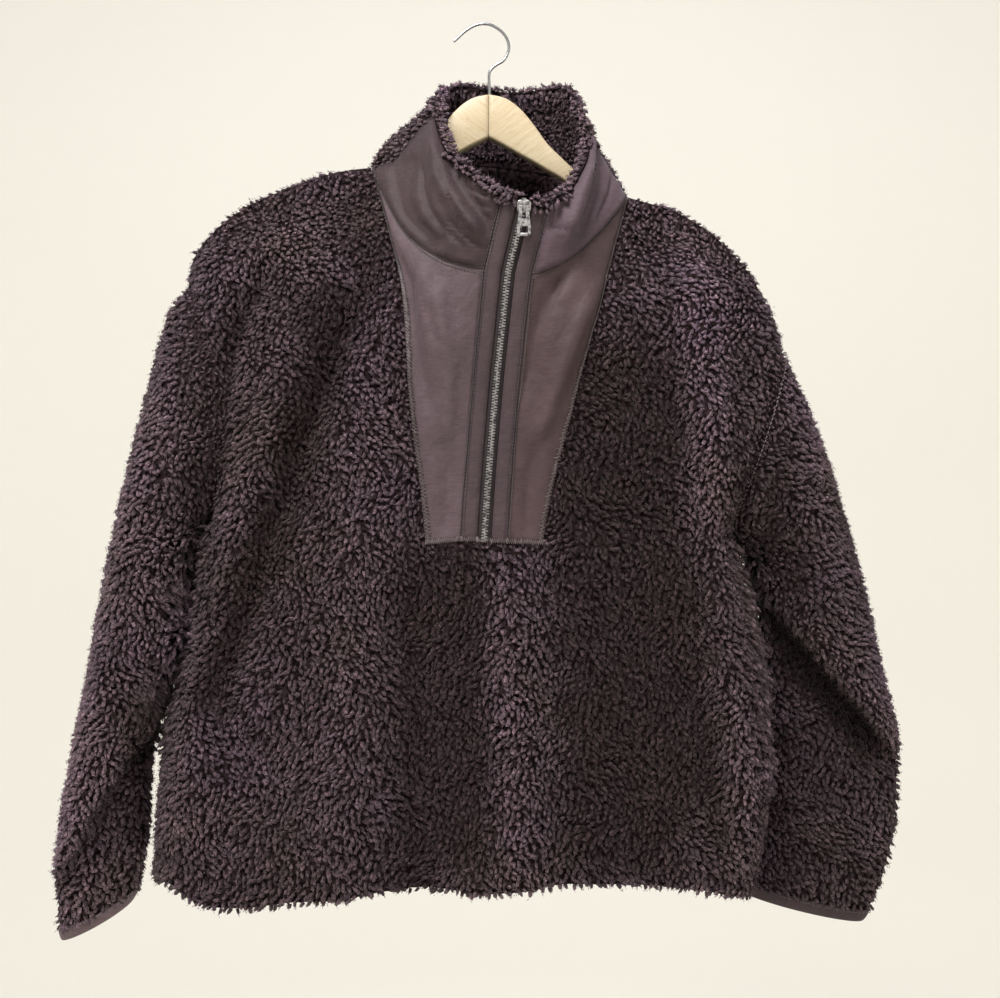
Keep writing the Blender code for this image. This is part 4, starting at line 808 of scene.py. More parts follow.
def scatter(points, normals, mask, apart, rng):
    """Places at least apart from each other, spread evenly over a grid, with their normals."""
    a, b, c, d = points[:-1, :-1], points[:-1, 1:], points[1:, 1:], points[1:, :-1]
    area = np.linalg.norm(np.cross(c - a, d - b), axis=-1) / 2
    area = np.where(mask, area, 0) if mask is not None else area
    area = np.nan_to_num(area)
    tries = rng.poisson(area * 6.0 / apart**2)
    rows, columns = np.nonzero(tries)
    rows, columns = (np.repeat(k, tries[rows, columns]) for k in (rows, columns))
    order = rng.permutation(len(rows))
    rows, columns = rows[order], columns[order]
    u, v = rng.random((2, len(rows), 1))

    def blend(field):
        return (field[rows, columns] * (1 - u) * (1 - v) + field[rows, columns + 1] * u * (1 - v)
                + field[rows + 1, columns + 1] * u * v + field[rows + 1, columns] * (1 - u) * v)

    places = blend(points)
    taken, kept = {}, []
    cells = np.floor(places / apart).astype(int)
    around = [(x, y, z) for x in (-1, 0, 1) for y in (-1, 0, 1) for z in (-1, 0, 1)]
    for number, (place, (x, y, z)) in enumerate(zip(places.tolist(), cells.tolist())):
        near = (other for i, j, k in around for other in taken.get((x + i, y + j, z + k), ()))
        if all((place[0] - q[0])**2 + (place[1] - q[1])**2 + (place[2] - q[2])**2 >= apart**2
               for q in near):
            taken.setdefault((x, y, z), []).append(place)
            kept.append(number)
    return places[kept], unit(blend(normals))[kept]


def spines(places, normals, heights, flow, rng):
    """The curls' bent middle lines, their upper sides, the way they lean and their half widths."""
    count = len(places)
    down = np.array([0.0, 0.0, -1.0]) - normals * (normals @ np.array([0.0, 0.0, -1.0]))[:, None]
    down = unit(down + normals[:, [1, 2, 0]] * 1e-3)
    side = np.cross(normals, down)
    turn = (flow + rng.normal(0, TUFT_SPREAD, count))[:, None]
    lean = down * np.cos(turn) + side * np.sin(turn)
    side = np.cross(normals, lean)
    length = (heights * rng.uniform(*TUFT_LONG, count))[:, None]
    half = rng.uniform(*TUFT_HALF, count)[:, None] * np.clip(heights / PILE_FULL, 0.55, 1.2)[:, None]
    start = rng.uniform(*TUFT_START, count)[:, None]
    bend = rng.uniform(*TUFT_BEND, count)[:, None]
    swing = rng.normal(0, TUFT_SWING, count)[:, None]
    spine, up = [places - normals * TUFT_ROOT], []
    for k in range(TUFT_STEPS):
        angle = start + bend * (k + 0.5) / TUFT_STEPS
        aside = swing * (k + 0.5) / TUFT_STEPS
        ahead = lean * np.cos(aside) + side * np.sin(aside)
        spine.append(spine[-1] + (normals * np.cos(angle) + ahead * np.sin(angle)) * length / TUFT_STEPS)
        up.append(unit(normals * np.sin(angle) - ahead * np.cos(angle)))
    return spine, up, lean, half


def curl_verts(spine, up, lean, half, normals):
    """The curls' corners: a ring at each of their places, and the tip."""
    verts = []
    for k, (along, share) in enumerate(zip(TUFT_RINGS, TUFT_WIDTHS)):
        across = unit(np.cross(up[k], normals + lean * 0.3))
        low = spine[int(along)]
        centre = low + (spine[int(along) + 1] - low) * (along - int(along))
        for s in range(TUFT_SIDES):
            around = 2 * math.pi * s / TUFT_SIDES
            wide = half * share
            verts.append(centre + across * wide * math.cos(around)
                         + up[k] * wide * TUFT_THICK * math.sin(around))
    return verts + [spine[-1]]


def wisp_verts(spine, half, normals, rng):
    """The corners of the loose fibres that stand off the curls' bent parts."""
    verts, spine, count = [], np.array(spine), len(normals)
    for _ in range(WISPS):
        k = rng.integers(1, TUFT_STEPS, count)
        low, high = (spine[step, np.arange(count)] for step in (k, k + 1))
        out = unit(normals + rng.normal(0, WISP_TURN, (count, 3)))
        ahead = unit(unit(high - low) + out * WISP_RISE + rng.normal(0, WISP_SPREAD, (count, 3)))
        foot = low + (high - low) * rng.random((count, 1))
        foot = foot + out * half * rng.uniform(*WISP_FOOT, (count, 1))
        aside = unit(np.cross(ahead, out)) * rng.uniform(*WISP_HALF, (count, 1))
        verts += [foot - aside, foot + aside, foot + ahead * rng.uniform(*WISP_LONG, (count, 1))]
    return verts


def tufts(places, normals, heights, flow, rng):
    """Curled teardrops of pile: vertices, faces, and each vertex's depth and tint."""
    count = len(places)
    spine, up, lean, half = spines(places, normals, heights, flow, rng)
    verts = curl_verts(spine, up, lean, half, normals)
    body = len(verts)
    verts += wisp_verts(spine, half, normals, rng)
    each = len(verts)
    verts = np.stack(verts, axis=1).reshape(-1, 3)
    ring = [(s, (s + 1) % TUFT_SIDES) for s in range(TUFT_SIDES)]
    last, tip = (len(TUFT_WIDTHS) - 1) * TUFT_SIDES, body - 1
    pattern = [[low + a, low + b, low + TUFT_SIDES + b, low + TUFT_SIDES + a]
               for low in range(0, last, TUFT_SIDES) for a, b in ring]
    tips = [[last + a, last + b, tip] for a, b in ring]
    tips += [[body + 3 * w, body + 3 * w + 1, body + 3 * w + 2] for w in range(WISPS)]
    offsets = np.arange(count)[:, None, None] * each
    quads = (np.array(pattern)[None] + offsets).reshape(-1, 4)
    triangles = (np.array(tips)[None] + offsets).reshape(-1, 3)
    own = [share for share in RING_DEPTHS for _ in range(TUFT_SIDES)] + [1.0] + WISP_DEPTHS * WISPS
    tint = np.repeat(rng.random(count), each).reshape(count, each)
    tint[:, body:] = np.repeat(rng.random((count, WISPS)), 3, axis=1)
    return verts, quads.tolist() + triangles.tolist(), np.tile(own, count), tint.ravel()


def add_pile(name, places, normals, heights, flow, finish, rng, nap_and_shade=None):
    """The curls as one piece. Its colours hold depth along the curl for the painted shade at the root,
    tint, and the nap with its painted light and shade.
    """
    verts, faces, depth, tint = tufts(places, normals, heights, flow, rng)
    nap_and_shade = np.full(len(places), 0.5) if nap_and_shade is None else np.clip(nap_and_shade, 0, 1)
    nap_and_shade = np.repeat(nap_and_shade, len(depth) // len(places))
    piece = add_piece(name, verts, faces, finish)
    colours = piece.data.color_attributes.new("pile", "FLOAT_COLOR", "POINT")
    values = np.stack([depth, tint, nap_and_shade, np.ones_like(depth)], axis=1)
    colours.data.foreach_set("color", values.astype(np.float32).ravel())
    return piece


# ---------------------------------------------------------------- materials
def connect(tree, target, inputs):
    """Gives a shader node's inputs their values, or the outputs that feed them."""
    for key, value in inputs.items():
        if isinstance(value, bpy.types.NodeSocket):
            tree.links.new(value, target.inputs[key])
        else:
            target.inputs[key].default_value = value
    return target


def node(tree, kind, inputs, **settings):
    """A new shader node with its inputs and its own settings."""
    made = tree.nodes.new("ShaderNode" + kind)
    for name, value in settings.items():
        setattr(made, name, value)
    return connect(tree, made, inputs)


def start_material(name, colour, roughness, **inputs):
    """A material, with more of its shader's inputs by their names without spaces."""
    made = bpy.data.materials.new(name)
    made.use_nodes = True
    made.diffuse_color = (*colour, 1.0)
    shader = made.node_tree.nodes["Principled BSDF"]
    named = {key.replace("_", " "): value for key, value in inputs.items()}
    plain = {"Base Color": (*colour, 1.0), "Roughness": roughness, "Sheen Roughness": 0.5}
    connect(made.node_tree, shader, plain | named)
    return made, made.node_tree, shader


def place_node(tree, stretch=(1, 1, 1), turn=(0, 0, 0)):
    """The object's own coordinates, in metres, turned and then stretched."""
    where = tree.nodes.new("ShaderNodeTexCoord").outputs["Object"]
    inputs = {"Vector": where, "Scale": [1 / s for s in stretch], "Rotation": turn}
    return node(tree, "Mapping", inputs, vector_type="TEXTURE").outputs["Vector"]


def noise_node(tree, vector, scale, detail=3.0, roughness=0.55):
    inputs = {"Vector": vector, "Scale": scale, "Detail": detail, "Roughness": roughness}
    return node(tree, "TexNoise", inputs).outputs["Fac"]


def wave_node(tree, vector, scale, direction):
    inputs = {"Vector": vector, "Scale": scale, "Distortion": 0.4}
    return node(tree, "TexWave", inputs, bands_direction=direction).outputs["Fac"]


def ramp_node(tree, factor, *stops):
    """A colour ramp; each stop is a position with a colour, or with one number for a grey."""
    ramp = node(tree, "ValToRGB", {"Fac": factor})
    spots = ramp.color_ramp.elements
    for number, (position, colour) in enumerate(stops):
        spot = spots[number] if number < len(spots) else spots.new(position)
        spot.position = position
        spot.color = (*colour, 1.0) if isinstance(colour, tuple) else (colour, colour, colour, 1.0)
    return ramp.outputs["Color"]


def multiply_node(tree, first, second, amount=1.0):
    inputs = {"Factor": amount, 6: first, 7: second}
    return node(tree, "Mix", inputs, data_type="RGBA", blend_type="MULTIPLY").outputs[2]


def bump_node(tree, shader, height, strength, distance, **before):
    """Bumps of a height in metres on a shader, over an earlier node's where it is given as Normal."""
    inputs = {"Height": height, "Strength": strength, "Distance": distance} | before
    bump = node(tree, "Bump", inputs).outputs["Normal"]
    tree.links.new(bump, shader.inputs["Normal"])
    return bump


def times(colour, gain):
    return tuple(gain * c for c in colour)


def pile_material(name, root_shade, tip):
    """Fibre colour from the tip down to a root painted dark as shade, with a tint of its own for each
    curl, and painted light and shade from the nap.
    """
    made, tree, shader = start_material(name, tip, 0.85, Sheen_Weight=PILE_SHEEN, Specular_IOR_Level=0.12,
                                        Sheen_Tint=(0.72, 0.62, 0.66, 1.0))
    marks = node(tree, "Attribute", {}, attribute_name="pile").outputs["Color"]
    depth, tint, nap_and_shade = node(tree, "SeparateColor", {"Color": marks}).outputs
    middle = tuple(0.6 * r + 0.4 * t for r, t in zip(root_shade, tip))
    # painted shade: the curl darkens from its tip down to its root
    along = ramp_node(tree, depth, (0.0, root_shade), (0.35, middle), (0.8, tip))
    own = ramp_node(tree, tint, (0.0, (0.56, 0.56, 0.58)), (0.6, 0.98), (1.0, (1.52, 1.46, 1.5)))
    broad = noise_node(tree, place_node(tree), 14.0)
    cast = ramp_node(tree, broad, (0.3, (0.95, 0.93, 0.86)), (0.7, (1.04, 1.0, 1.12)))
    # painted light and shade from the nap channel: dark and browner in troughs and shadows, lighter on
    # ridges and the rim
    painted_light_and_shade = ramp_node(tree, nap_and_shade, (0.0, (0.08, 0.07, 0.06)), (0.2, (0.46, 0.43, 0.40)), (0.5, 1.0),
                    (1.0, (1.85, 1.83, 1.92)))
    fibre = noise_node(tree, place_node(tree), 820.0, 4.0, 0.7)
    hairs = ramp_node(tree, fibre, (0.37, 0.34), (0.5, 0.95), (0.62, 1.75))
    colour = along
    for layer in (own, cast, painted_light_and_shade, hairs):
        colour = multiply_node(tree, colour, layer)
    tree.links.new(colour, shader.inputs["Base Color"])
    bump_node(tree, shader, fibre, 0.8, 0.0008)
    return made


def ground_material():
    """The knitted ground with short loops of pile, painted almost black as the shade between the curls."""
    made, tree, shader = start_material("sherpa_ground_painted_shade", PILE_ROOT_SHADE, 1.0, Specular_IOR_Level=0.1)
    loops = noise_node(tree, place_node(tree), 330.0)
    colour = ramp_node(tree, loops, (0.42, times(PILE_ROOT_SHADE, 0.5)), (0.62, PILE_LOOP_SHADE))
    tree.links.new(colour, shader.inputs["Base Color"])
    bump_node(tree, shader, loops, 0.8, 0.0012)
    return made


def woven_material(name, colour, threads=WEAVE_SCALE):
    """A plain weave with a slight sheen, uneven dye and fine crumples."""
    made, tree, shader = start_material(name, colour, 0.6, Sheen_Weight=0.1, Specular_IOR_Level=0.28,
                                        Sheen_Tint=(0.85, 0.76, 0.84, 1.0))
    place = place_node(tree)
    dye = ramp_node(tree, noise_node(tree, place, 22.0, 4.0), (0.3, times(colour, 0.86)),
                    (0.7, times(colour, 1.12)))
    warp, weft = (wave_node(tree, place, threads, way) for way in "XZ")
    cross = node(tree, "Math", {0: warp, 1: weft}, operation="MULTIPLY").outputs[0]
    lines = ramp_node(tree, cross, (0.0, 0.86), (0.6, 1.05))
    slubs = noise_node(tree, place_node(tree, (0.16, 0.16, 1.0)), 900.0, 3.0, 0.6)
    slub = ramp_node(tree, slubs, (0.36, 0.84), (0.5, 0.99), (0.66, 1.13))
    shades = multiply_node(tree, multiply_node(tree, dye, slub), lines)
    tree.links.new(shades, shader.inputs["Base Color"])
    crumple = noise_node(tree, place_node(tree, (1.0, 1.0, 0.55), (0, 0.5, 0)), 120.0, 5.0, 0.6)
    first = bump_node(tree, shader, crumple, 0.5, 0.003)
    bump_node(tree, shader, cross, 0.35, 0.0002, Normal=first)
    return made


def thread_material(name, colour):
    made, tree, shader = start_material(name, colour, 0.6, Sheen_Weight=0.3)
    twist = wave_node(tree, place_node(tree, turn=(0.4, 0.5, 0.2)), 900.0, "DIAGONAL")
    shades = ramp_node(tree, twist, (0.2, times(colour, 0.75)), (0.8, colour))
    tree.links.new(shades, shader.inputs["Base Color"])
    bump_node(tree, shader, twist, 0.4, 0.0002)
    return made


def metal_material(name, colour, roughness, wear_and_shade):
    """Cast metal in random patches: dark, duller ones that are partly wear and partly painted shade, and
    bright worn ones.
    """
    made, tree, shader = start_material(name, colour, roughness, Metallic=1.0)
    wear_and_shade_patches = noise_node(tree, place_node(tree), 420.0, 4.0)
    connect(tree, shader, {
        "Base Color": ramp_node(tree, wear_and_shade_patches, (0.34, wear_and_shade), (0.62, colour)),
        "Roughness": ramp_node(tree, wear_and_shade_patches, (0.35, roughness + 0.2), (0.65, roughness))})
    bump_node(tree, shader, wear_and_shade_patches, 0.15, 0.0003)
    return made


def wood_material(name, turn):
    """Pale beech: long grain lines, darker flecks and a satin varnish."""
    made, tree, shader = start_material(name, BEECH, 0.42, Coat_Weight=0.25, Coat_Roughness=0.3)
    grain = noise_node(tree, place_node(tree, (3.0, 18.0, 60.0), (0, turn, 0)), 6.0, 6.0, 0.62)
    lines = ramp_node(tree, grain, (0.32, BEECH_DARK), (0.5, BEECH), (0.72, BEECH_LIGHT))
    fleck = noise_node(tree, place_node(tree, (40.0, 150.0, 420.0), (0, turn, 0)), 4.0, 2.0)
    flecks = ramp_node(tree, fleck, (0.34, (0.8, 0.74, 0.66)), (0.42, 1.0))
    tree.links.new(multiply_node(tree, lines, flecks, 0.8), shader.inputs["Base Color"])
    bump_node(tree, shader, grain, 0.12, 0.0004)
    return made


# ---------------------------------------------------------------- fleece panels
# Where a seam presses the pile: its height there, and how far off it is full again.
PRESSED = {"armhole": (2.2, 11.0), "neck": (2.4, 9.0), "shoulder": (3.4, 7.0), "placket": (3.0, 7.0),
           "elbow": (2.6, 6.0)}


def pressed(points, lines):
    """Pile height at each point: low beside the given lines, full a little way off."""
    height = np.full(points.shape[:-1], PILE_FULL)
    for line, low, reach in lines:
        line = line[~np.isnan(line).any(axis=1)]
        flat = points.reshape(-1, 3)
        away = np.min([np.linalg.norm(flat - spot, axis=1) for spot in line], axis=0)
        away = away.reshape(height.shape)
        height = np.minimum(height, low + (PILE_FULL - low) * smooth(away / reach))
    return height


def streak(places, run):
    """How far each place lies from a line through the run's places, seen from the front."""
    flat = places[:, [0, 2]]
    away = np.full(len(flat), np.inf)
    for start, end in zip(run[:-1], run[1:]):
        start, end = np.array(start, float), np.array(end, float)
        share = np.clip((flat - start) @ (end - start) / ((end - start) @ (end - start)), 0, 1)
        away = np.minimum(away, np.linalg.norm(flat - start - share[:, None] * (end - start), axis=1))
    return away


def nap_and_shade_of(name, places):
    """The nap at each place with painted light and shade on it: 1 is painted light on the ridges, 0
    painted shade in the troughs and behind folds.
    """
    nap_and_shade = rippled(NAP_PLAIN, places, NAP_RIPPLES)
    front = smooth((NAP_FRONT.get(name, NAP_FRONT["other"]) - places[:, 1]) / NAP_FRONT_OVER)
    # painted light and shade along the streaks, on the front only
    for amount, wide, run in NAP_AND_SHADE_STREAKS.get(name, ()):
        nap_and_shade += amount * np.exp(-(streak(places, run) / wide) ** 2) * front
    # painted shade in the folds' troughs and painted light on their ridges
    if name in ("front_body", "back_body"):
        lines = FRONT_LINES if name == "front_body" else BACK_LINES
        shift = np.array([fold_shift(lines, p[0], p[2]) for p in places])
        nap_and_shade -= (1 if name == "front_body" else -1) * shift * NAP_SHADE_PER_FOLD
    if name in ("sleeve_left", "sleeve_right"):
        side = name[7:]
        # painted shade on the forearm beyond the elbow's fold, a painted shadow just under the fold and a
        # painted highlight on its edge
        step = np.array([elbow_step(side, p[0], p[2]) for p in places]) / abs(ELBOWS[side]["deeper"])
        beyond = np.array([beyond_elbow(side, p[0], p[2]) for p in places])
        wide = NAP_SHADOW_WIDE[side]
        fold_shadow = smooth(beyond / NAP_SHADOW_OVER) * (1 - smooth((beyond - 0.25 * wide) / wide))
        fold_highlight = np.exp(-((beyond + NAP_HIGHLIGHT_WIDE) / NAP_HIGHLIGHT_WIDE) ** 2)
        nap_and_shade = np.maximum(nap_and_shade, NAP_LOW) - (NAP_FOREARM_SHADE[side] + NAP_FOLD_SHADOW * fold_shadow) * step * front
        return nap_and_shade + NAP_FOLD_HIGHLIGHT * fold_highlight * front
    return np.maximum(nap_and_shade, NAP_LOW)


def near_side(name, places):
    """How much longer the pile is at each place, because a sleeve lies against the body there."""
    runs = {"front_body": SIDES, "back_body": SIDES, "sleeve_left": SIDES[:1], "sleeve_right": SIDES[1:]}
    near = np.zeros(len(places))
    for side in runs.get(name, ()):
        if name.startswith("sleeve"):
            line = [sleeve(side, q, 0.0) for q in FLUFF_SLEEVE]
        else:
            line = [side_edge(side, t, False) for t in FLUFF_BODY]
        away = streak(places, [(p[0], p[2]) for p in line])
        high, low = SIDE_FLUFF[side]
        amount = low + (high - low) * smooth((places[:, 2] - FLUFF_FROM) / FLUFF_OVER)
        near = np.maximum(near, amount * (1 - smooth(away / FLUFF_REACH)))
    return near


def fleece(name, points, normals, lines, apart, finishes, rng, mask=None, around=False, bias=0.0):
    """A fleece panel: its knitted ground as a thin sheet, and its pile as curls."""
    mesh = wall(points, normals, 0.0, -GROUND_IN, mask, around)
    sheet = cover(add_piece(name, *mesh, finishes["ground"]), name)
    places, outward = scatter(points, normals, mask, apart, rng)
    heights = pressed(places, lines) * rippled(1, places, PILE_RIPPLES) * (1 + near_side(name, places))
    flow = rippled(bias, places, FLOW_RIPPLES)
    pile = add_pile(name + "_pile", places, outward, heights, flow, finishes["pile"], rng,
                    nap_and_shade_of(name, places))
    return sheet, pile


def build_hem(points, finishes, rng):
    """Curls that hang over the hem's cut edge."""
    for name, row in points.items():
        edge, = resample(row[~np.isnan(row).any(axis=1)], HEM_APART)
        outward = np.tile([0.0, -HEM_OUT if name == "front" else HEM_OUT, -HEM_DOWN], (len(edge), 1))
        places = edge + np.stack([rng.normal(0, HEM_STRAY, len(edge)), rng.uniform(*HEM_DEEP, len(edge)),
                                  rng.uniform(*HEM_UP, len(edge))], axis=1)
        pile = add_pile("hem_pile_" + name, places, unit(outward), np.full(len(edge), HEM_PILE),
                        rng.normal(0, HEM_TURN, len(edge)), finishes["pile"], rng)


def lining_grid(grids):
    """The lining's ground from inside the neck up over the rim, and the way its pile points."""
    parts = {"zip_right": slice(0, 1), "collar_front_right": slice(None, -1),
             "collar_back": slice(None, -1), "collar_front_left": slice(None), "zip_left": slice(1, None)}
    skin, outward = [], []
    for name, columns in parts.items():
        points = grids[name][-RISE_FINE - 1:]
        skin.append(points[:, columns])
        outward.append(normals_of(points)[:, columns])
    skin, outward = np.concatenate(skin, axis=1), np.concatenate(outward, axis=1)
    for _ in range(3):
        middle = outward[:, :-2] + 2 * outward[:, 1:-1] + outward[:, 2:]
        outward[:, 1:-1] = unit(middle)
    up = unit(skin[-1] - skin[-2])
    rim, out = skin[-1], outward[-1]
    first = int(LINING_FOOT * RISE_FINE)
    ground = [p - n * LINING_CLEAR for p, n in zip(skin[first:], outward[first:])]
    towards = list(-outward[first:])
    for rise, aside, turn_up, turn_out in ROLL[1:]:
        ground.append(rim + up * rise + out * aside)
        towards.append(unit(up * turn_up + out * turn_out))
    return np.array(ground)[:, ::-1], np.array(towards)[:, ::-1]


def build_lining(grids, finishes, rng):
    """The lining's ground and pile, and a double row of curls that stands on the rim."""
    ground, towards = lining_grid(grids)
    mesh = wall(ground, towards, LINING_SHELL, 0.0)
    sheet = cover(add_piece("collar_lining", *mesh, finishes["ground"]), "collar_lining")
    places, outward = scatter(ground, towards, None, LINING_APART, rng)
    away = np.min([np.linalg.norm(places - spot, axis=1) for spot in ground[-3]], axis=0)
    top = 1 - smooth(away / RIM_REACH)
    roll = smooth((ROLL_LEFT - places[:, 0]) / ROLL_OVER) * smooth((ROLL_FRONT - places[:, 1]) / ROLL_OVER)
    places = places + outward * ((RIM_BED + ROLL_SWELL * roll) * top)[:, None]
    heights = LINING_PILE - LINING_LESS + (RIM_PILE - LINING_PILE + LINING_LESS) * top
    flow = rippled(0, places, LINING_FLOW_RIPPLES)
    # painted shade deep inside the collar and painted light on its rim
    nap_and_shade = rippled(NAP_INSIDE_SHADE + (NAP_RIM_LIGHT - NAP_INSIDE_SHADE) * top, places, LINING_NAP_RIPPLES)
    crown, = resample(ground[-3], RIM_APART)
    count = len(crown) * 2
    crown = np.repeat(crown, 2, axis=0) + rng.normal(0, CROWN_STRAY, (count, 3)) + [0.0, 0.0, RIM_BED]
    places = np.concatenate([places, crown])
    upright = unit(np.array([0.0, 0.0, 1.0]) + rng.normal(0, CROWN_TURN, (count, 3)))
    outward = np.concatenate([outward, upright])
    heights = np.concatenate([heights, rng.uniform(*CROWN_PILE, count)])
    flow = np.concatenate([flow, rng.uniform(-math.pi, math.pi, count)])
    # the curls standing on the rim take its painted light
    nap_and_shade = np.concatenate([nap_and_shade, np.full(count, NAP_RIM_LIGHT)])
    pile = add_pile("collar_lining_pile", places, outward, heights, flow, finishes["pile"], rng, nap_and_shade)
    return sheet, pile


def build_fleece(grids, finishes):
    rng = np.random.default_rng(SEED)
    front, mask = grids["front_body"]
    armholes = [(grids["sleeve_" + side][-1], *PRESSED["armhole"]) for side in SIDES]
    neck = [(grids["collar_back"][0], *PRESSED["neck"])]
    shoulders = [(np.array([leg(side, 2.0, u) for u in np.linspace(0, 1, 30)]), *PRESSED["shoulder"])
                 for side in SIDES]
    foot = front[LOW_FINE, LEG_FINE:front.shape[1] - LEG_FINE]
    edges = [(line, *PRESSED["placket"])
             for line in (grids["placket_left"][:, 0], grids["placket_right"][:, -1], foot)]
    elbow = [(sleeve_seam(grids["sleeve_right"]), *PRESSED["elbow"])]
    made = {}

    def panel(name, points, normals, lines, apart=PILE_APART, **kind):
        made[name] = fleece(name, points, normals, lines, apart, finishes, rng, **kind)

    panel("front_body", front, normals_of(front, mask), armholes + edges + shoulders + neck, mask=mask)
    back = grids["back_body"]
    panel("back_body", back, normals_of(back), armholes + shoulders + neck, PILE_APART * BACK_APART)
    for side, lines in zip(SIDES, (armholes, armholes + elbow)):
        points = grids["sleeve_" + side]
        panel("sleeve_" + side, points, tube_normals(points), lines, around=True, bias=SLEEVE_LEAN[side])
    collar = grids["collar_back"]
    panel("collar_back", collar[:COLLAR_BACK_ROWS], normals_of(collar)[:COLLAR_BACK_ROWS], neck)
    made["collar_lining"] = build_lining(grids, finishes, rng)
    build_hem({"front": front[0], "back": back[0]}, finishes, rng)
    return made


# ---------------------------------------------------------------- woven panels
# Creases: three points down each in the front view, half width, and depth (out is negative).
COLLAR_CREASES = {
    "left_soft_fold": (-58, -116, -60, -160, -42, -182, 5, 5.0),
    "left_dark_fold": (-31, -94, -22, -139, 0, -172, 3.5, 5.0),
    "left_ridge": (-41, -100, -32, -143, -10, -176, 6, -3.5),
    "left_pucker_one": (-17, -142, -10, -147, -2, -152, 2.5, 2.5),
    "left_pucker_two": (-16, -152, -8, -157, 0, -161, 2.5, 2.2),
    "left_edge_fold": (-67, -110, -69, -127, -63, -146, 4, 3.0),
    "right_ridge": (76, -94, 70, -134, 58, -176, 6, -5.0),
    "right_shadow": (84, -100, 80, -142, 70, -170, 4.5, 4.0),
    "right_inner_fold": (56, -118, 50, -146, 44, -172, 4, 3.0),
    "left_fine_one": (-50, -120, -46, -150, -34, -180, 2.4, 1.8),
    "left_fine_two": (-38, -120, -28, -150, -12, -180, 2.2, 1.8),
    "left_fine_three": (-24, -120, -14, -146, -2, -170, 2.2, 1.6),
    "left_fine_four": (-72, -120, -70, -140, -60, -160, 2.2, 1.6),
    "left_low_one": (-30, -168, -18, -180, -6, -190, 2.0, 1.5),
    "left_low_two": (-44, -158, -32, -174, -18, -188, 2.0, 1.5),
    "right_fine_one": (66, -110, 62, -140, 52, -168, 2.2, 1.8),
    "right_fine_two": (96, -118, 92, -140, 82, -164, 2.2, 1.6),
    "right_low_one": (40, -168, 52, -176, 66, -180, 2.0, 1.5),
}
PLACKET_CREASES = {
    "left_long_fold": (-68, -190, -60, -240, -48, -300, 7, 3.0),
    "left_cross_fold": (-46, -210, -34, -250, -30, -330, 6, -2.5),
    "left_low_fold": (-36, -330, -30, -370, -34, -405, 6, 2.0),
    "right_diagonal": (62, -200, 40, -240, 26, -290, 7, 3.0),
    "right_ridge": (82, -215, 60, -270, 40, -330, 7, -3.0),
    "right_low_fold": (40, -330, 30, -370, 30, -405, 6, 2.0),
    "right_gather_one": (38, -209, 32, -222, 29, -240, 2.0, 1.3),
    "right_gather_two": (48, -206, 41, -222, 34, -246, 2.0, 1.4),
    "right_gather_three": (60, -200, 52, -218, 42, -244, 2.4, 1.3),
    "left_gather_one": (-24, -206, -27, -224, -26, -250, 2.4, 1.2),
    "left_gather_two": (-38, -200, -42, -222, -42, -252, 2.6, 1.4),
    "left_gather_three": (-54, -188, -60, -212, -62, -240, 2.6, 1.4),
}


def placket_grid(side):
    columns = np.linspace(0, 1, PLACKET_FINE + 1)
    points = grid(lambda t, u: placket(side, t, u), np.linspace(1, 2, PLACKET_ROWS + 1), columns)
    return points if side == "left" else points[:, ::-1]


def collar_front_grid(side):
    columns = np.linspace(0, 1, 2 * PLACKET_FINE + 1)
    points = grid(lambda r, u: collar_front(side, u, r), np.linspace(0, 1, RISE_FINE + 1), columns)
    return points if side == "left" else points[:, ::-1]


def collar_back_grid():
    return grid(lambda r, u: collar(back_column(u, r), r), np.linspace(0, 1, RISE_FINE + 1),
                np.linspace(0, 1, NECK_FINE + 1))


CREASE_GAIN = 1.4             # the scene's creases against the table's depths
CALM = (0.06, 0.08, 0.1)      # shares of a panel that are calm at its foot, its head and its sides
COLLAR_OUT, CREASE_IN = 3.4, 0.2      # the collar's panels stand out this far, and go in at most this far


def creased(points, creases, seed, out=0.0):
    """The panel with its creases and a fine uneven ripple, calm at its edges."""
    lines = fold_lines(creases)
    rows, columns = points.shape[:2]
    up = np.linspace(0, 1, rows)[:, None]
    across = np.linspace(0, 1, columns)[None, :]
    foot, head, beside = CALM
    calm = (smooth(up / foot) * smooth((1 - up) / head)
            * smooth(across / beside) * smooth((1 - across) / beside))
    shift = CREASE_GAIN * np.array([[fold_shift(lines, p[0], p[2]) for p in row] for row in points])
    shift = rippled(shift, points, ((-0.5, 15.0, seed), (-0.32, 7.0, seed + 1)))
    shift = np.minimum(shift - out, CREASE_IN) if out else shift
    return points - normals_of(points) * (calm * shift)[..., None]


def build_woven(grids, finishes):
    made = {}
    for side in SIDES:
        for kind in ("placket_", "collar_front_"):
            points = grids[kind + side]
            normals = normals_of(points)
            mesh = wall(points, normals, WOVEN_HALF, -WOVEN_HALF)
            cloth = add_piece(kind + side, *mesh, finishes[kind + side])
            made[kind + side] = (cover(cloth, kind + side),)
    return made


# ---------------------------------------------------------------- threads
STITCH_STEP, STITCH_SINK = 0.45, 0.35   # points along a stitch, and how deep its ends go in
# Stitches: length, gap and how far they stand out.
SEAM_STITCH, WELT_STITCH = (2.0, 0.8, 0.75), (2.0, 0.8, 1.3)
CUFF_STITCH, ARMHOLE_STITCH = (2.2, 1.0, 1.4), (2.4, 1.2, 1.8)
# Serging: width, pitch and how far it stands out.
SERGE_WIDE, SERGE_NARROW = (4.8, 2.5, 1.3), (2.6, 3.1, 1.6)
FOOT_SERGE, ZIP_SERGE = (3.6, 1.6, 1.3), (3.6, 1.6, 2.2)
SERGE_RADIUS, STITCH_RADIUS = 0.4, 0.34
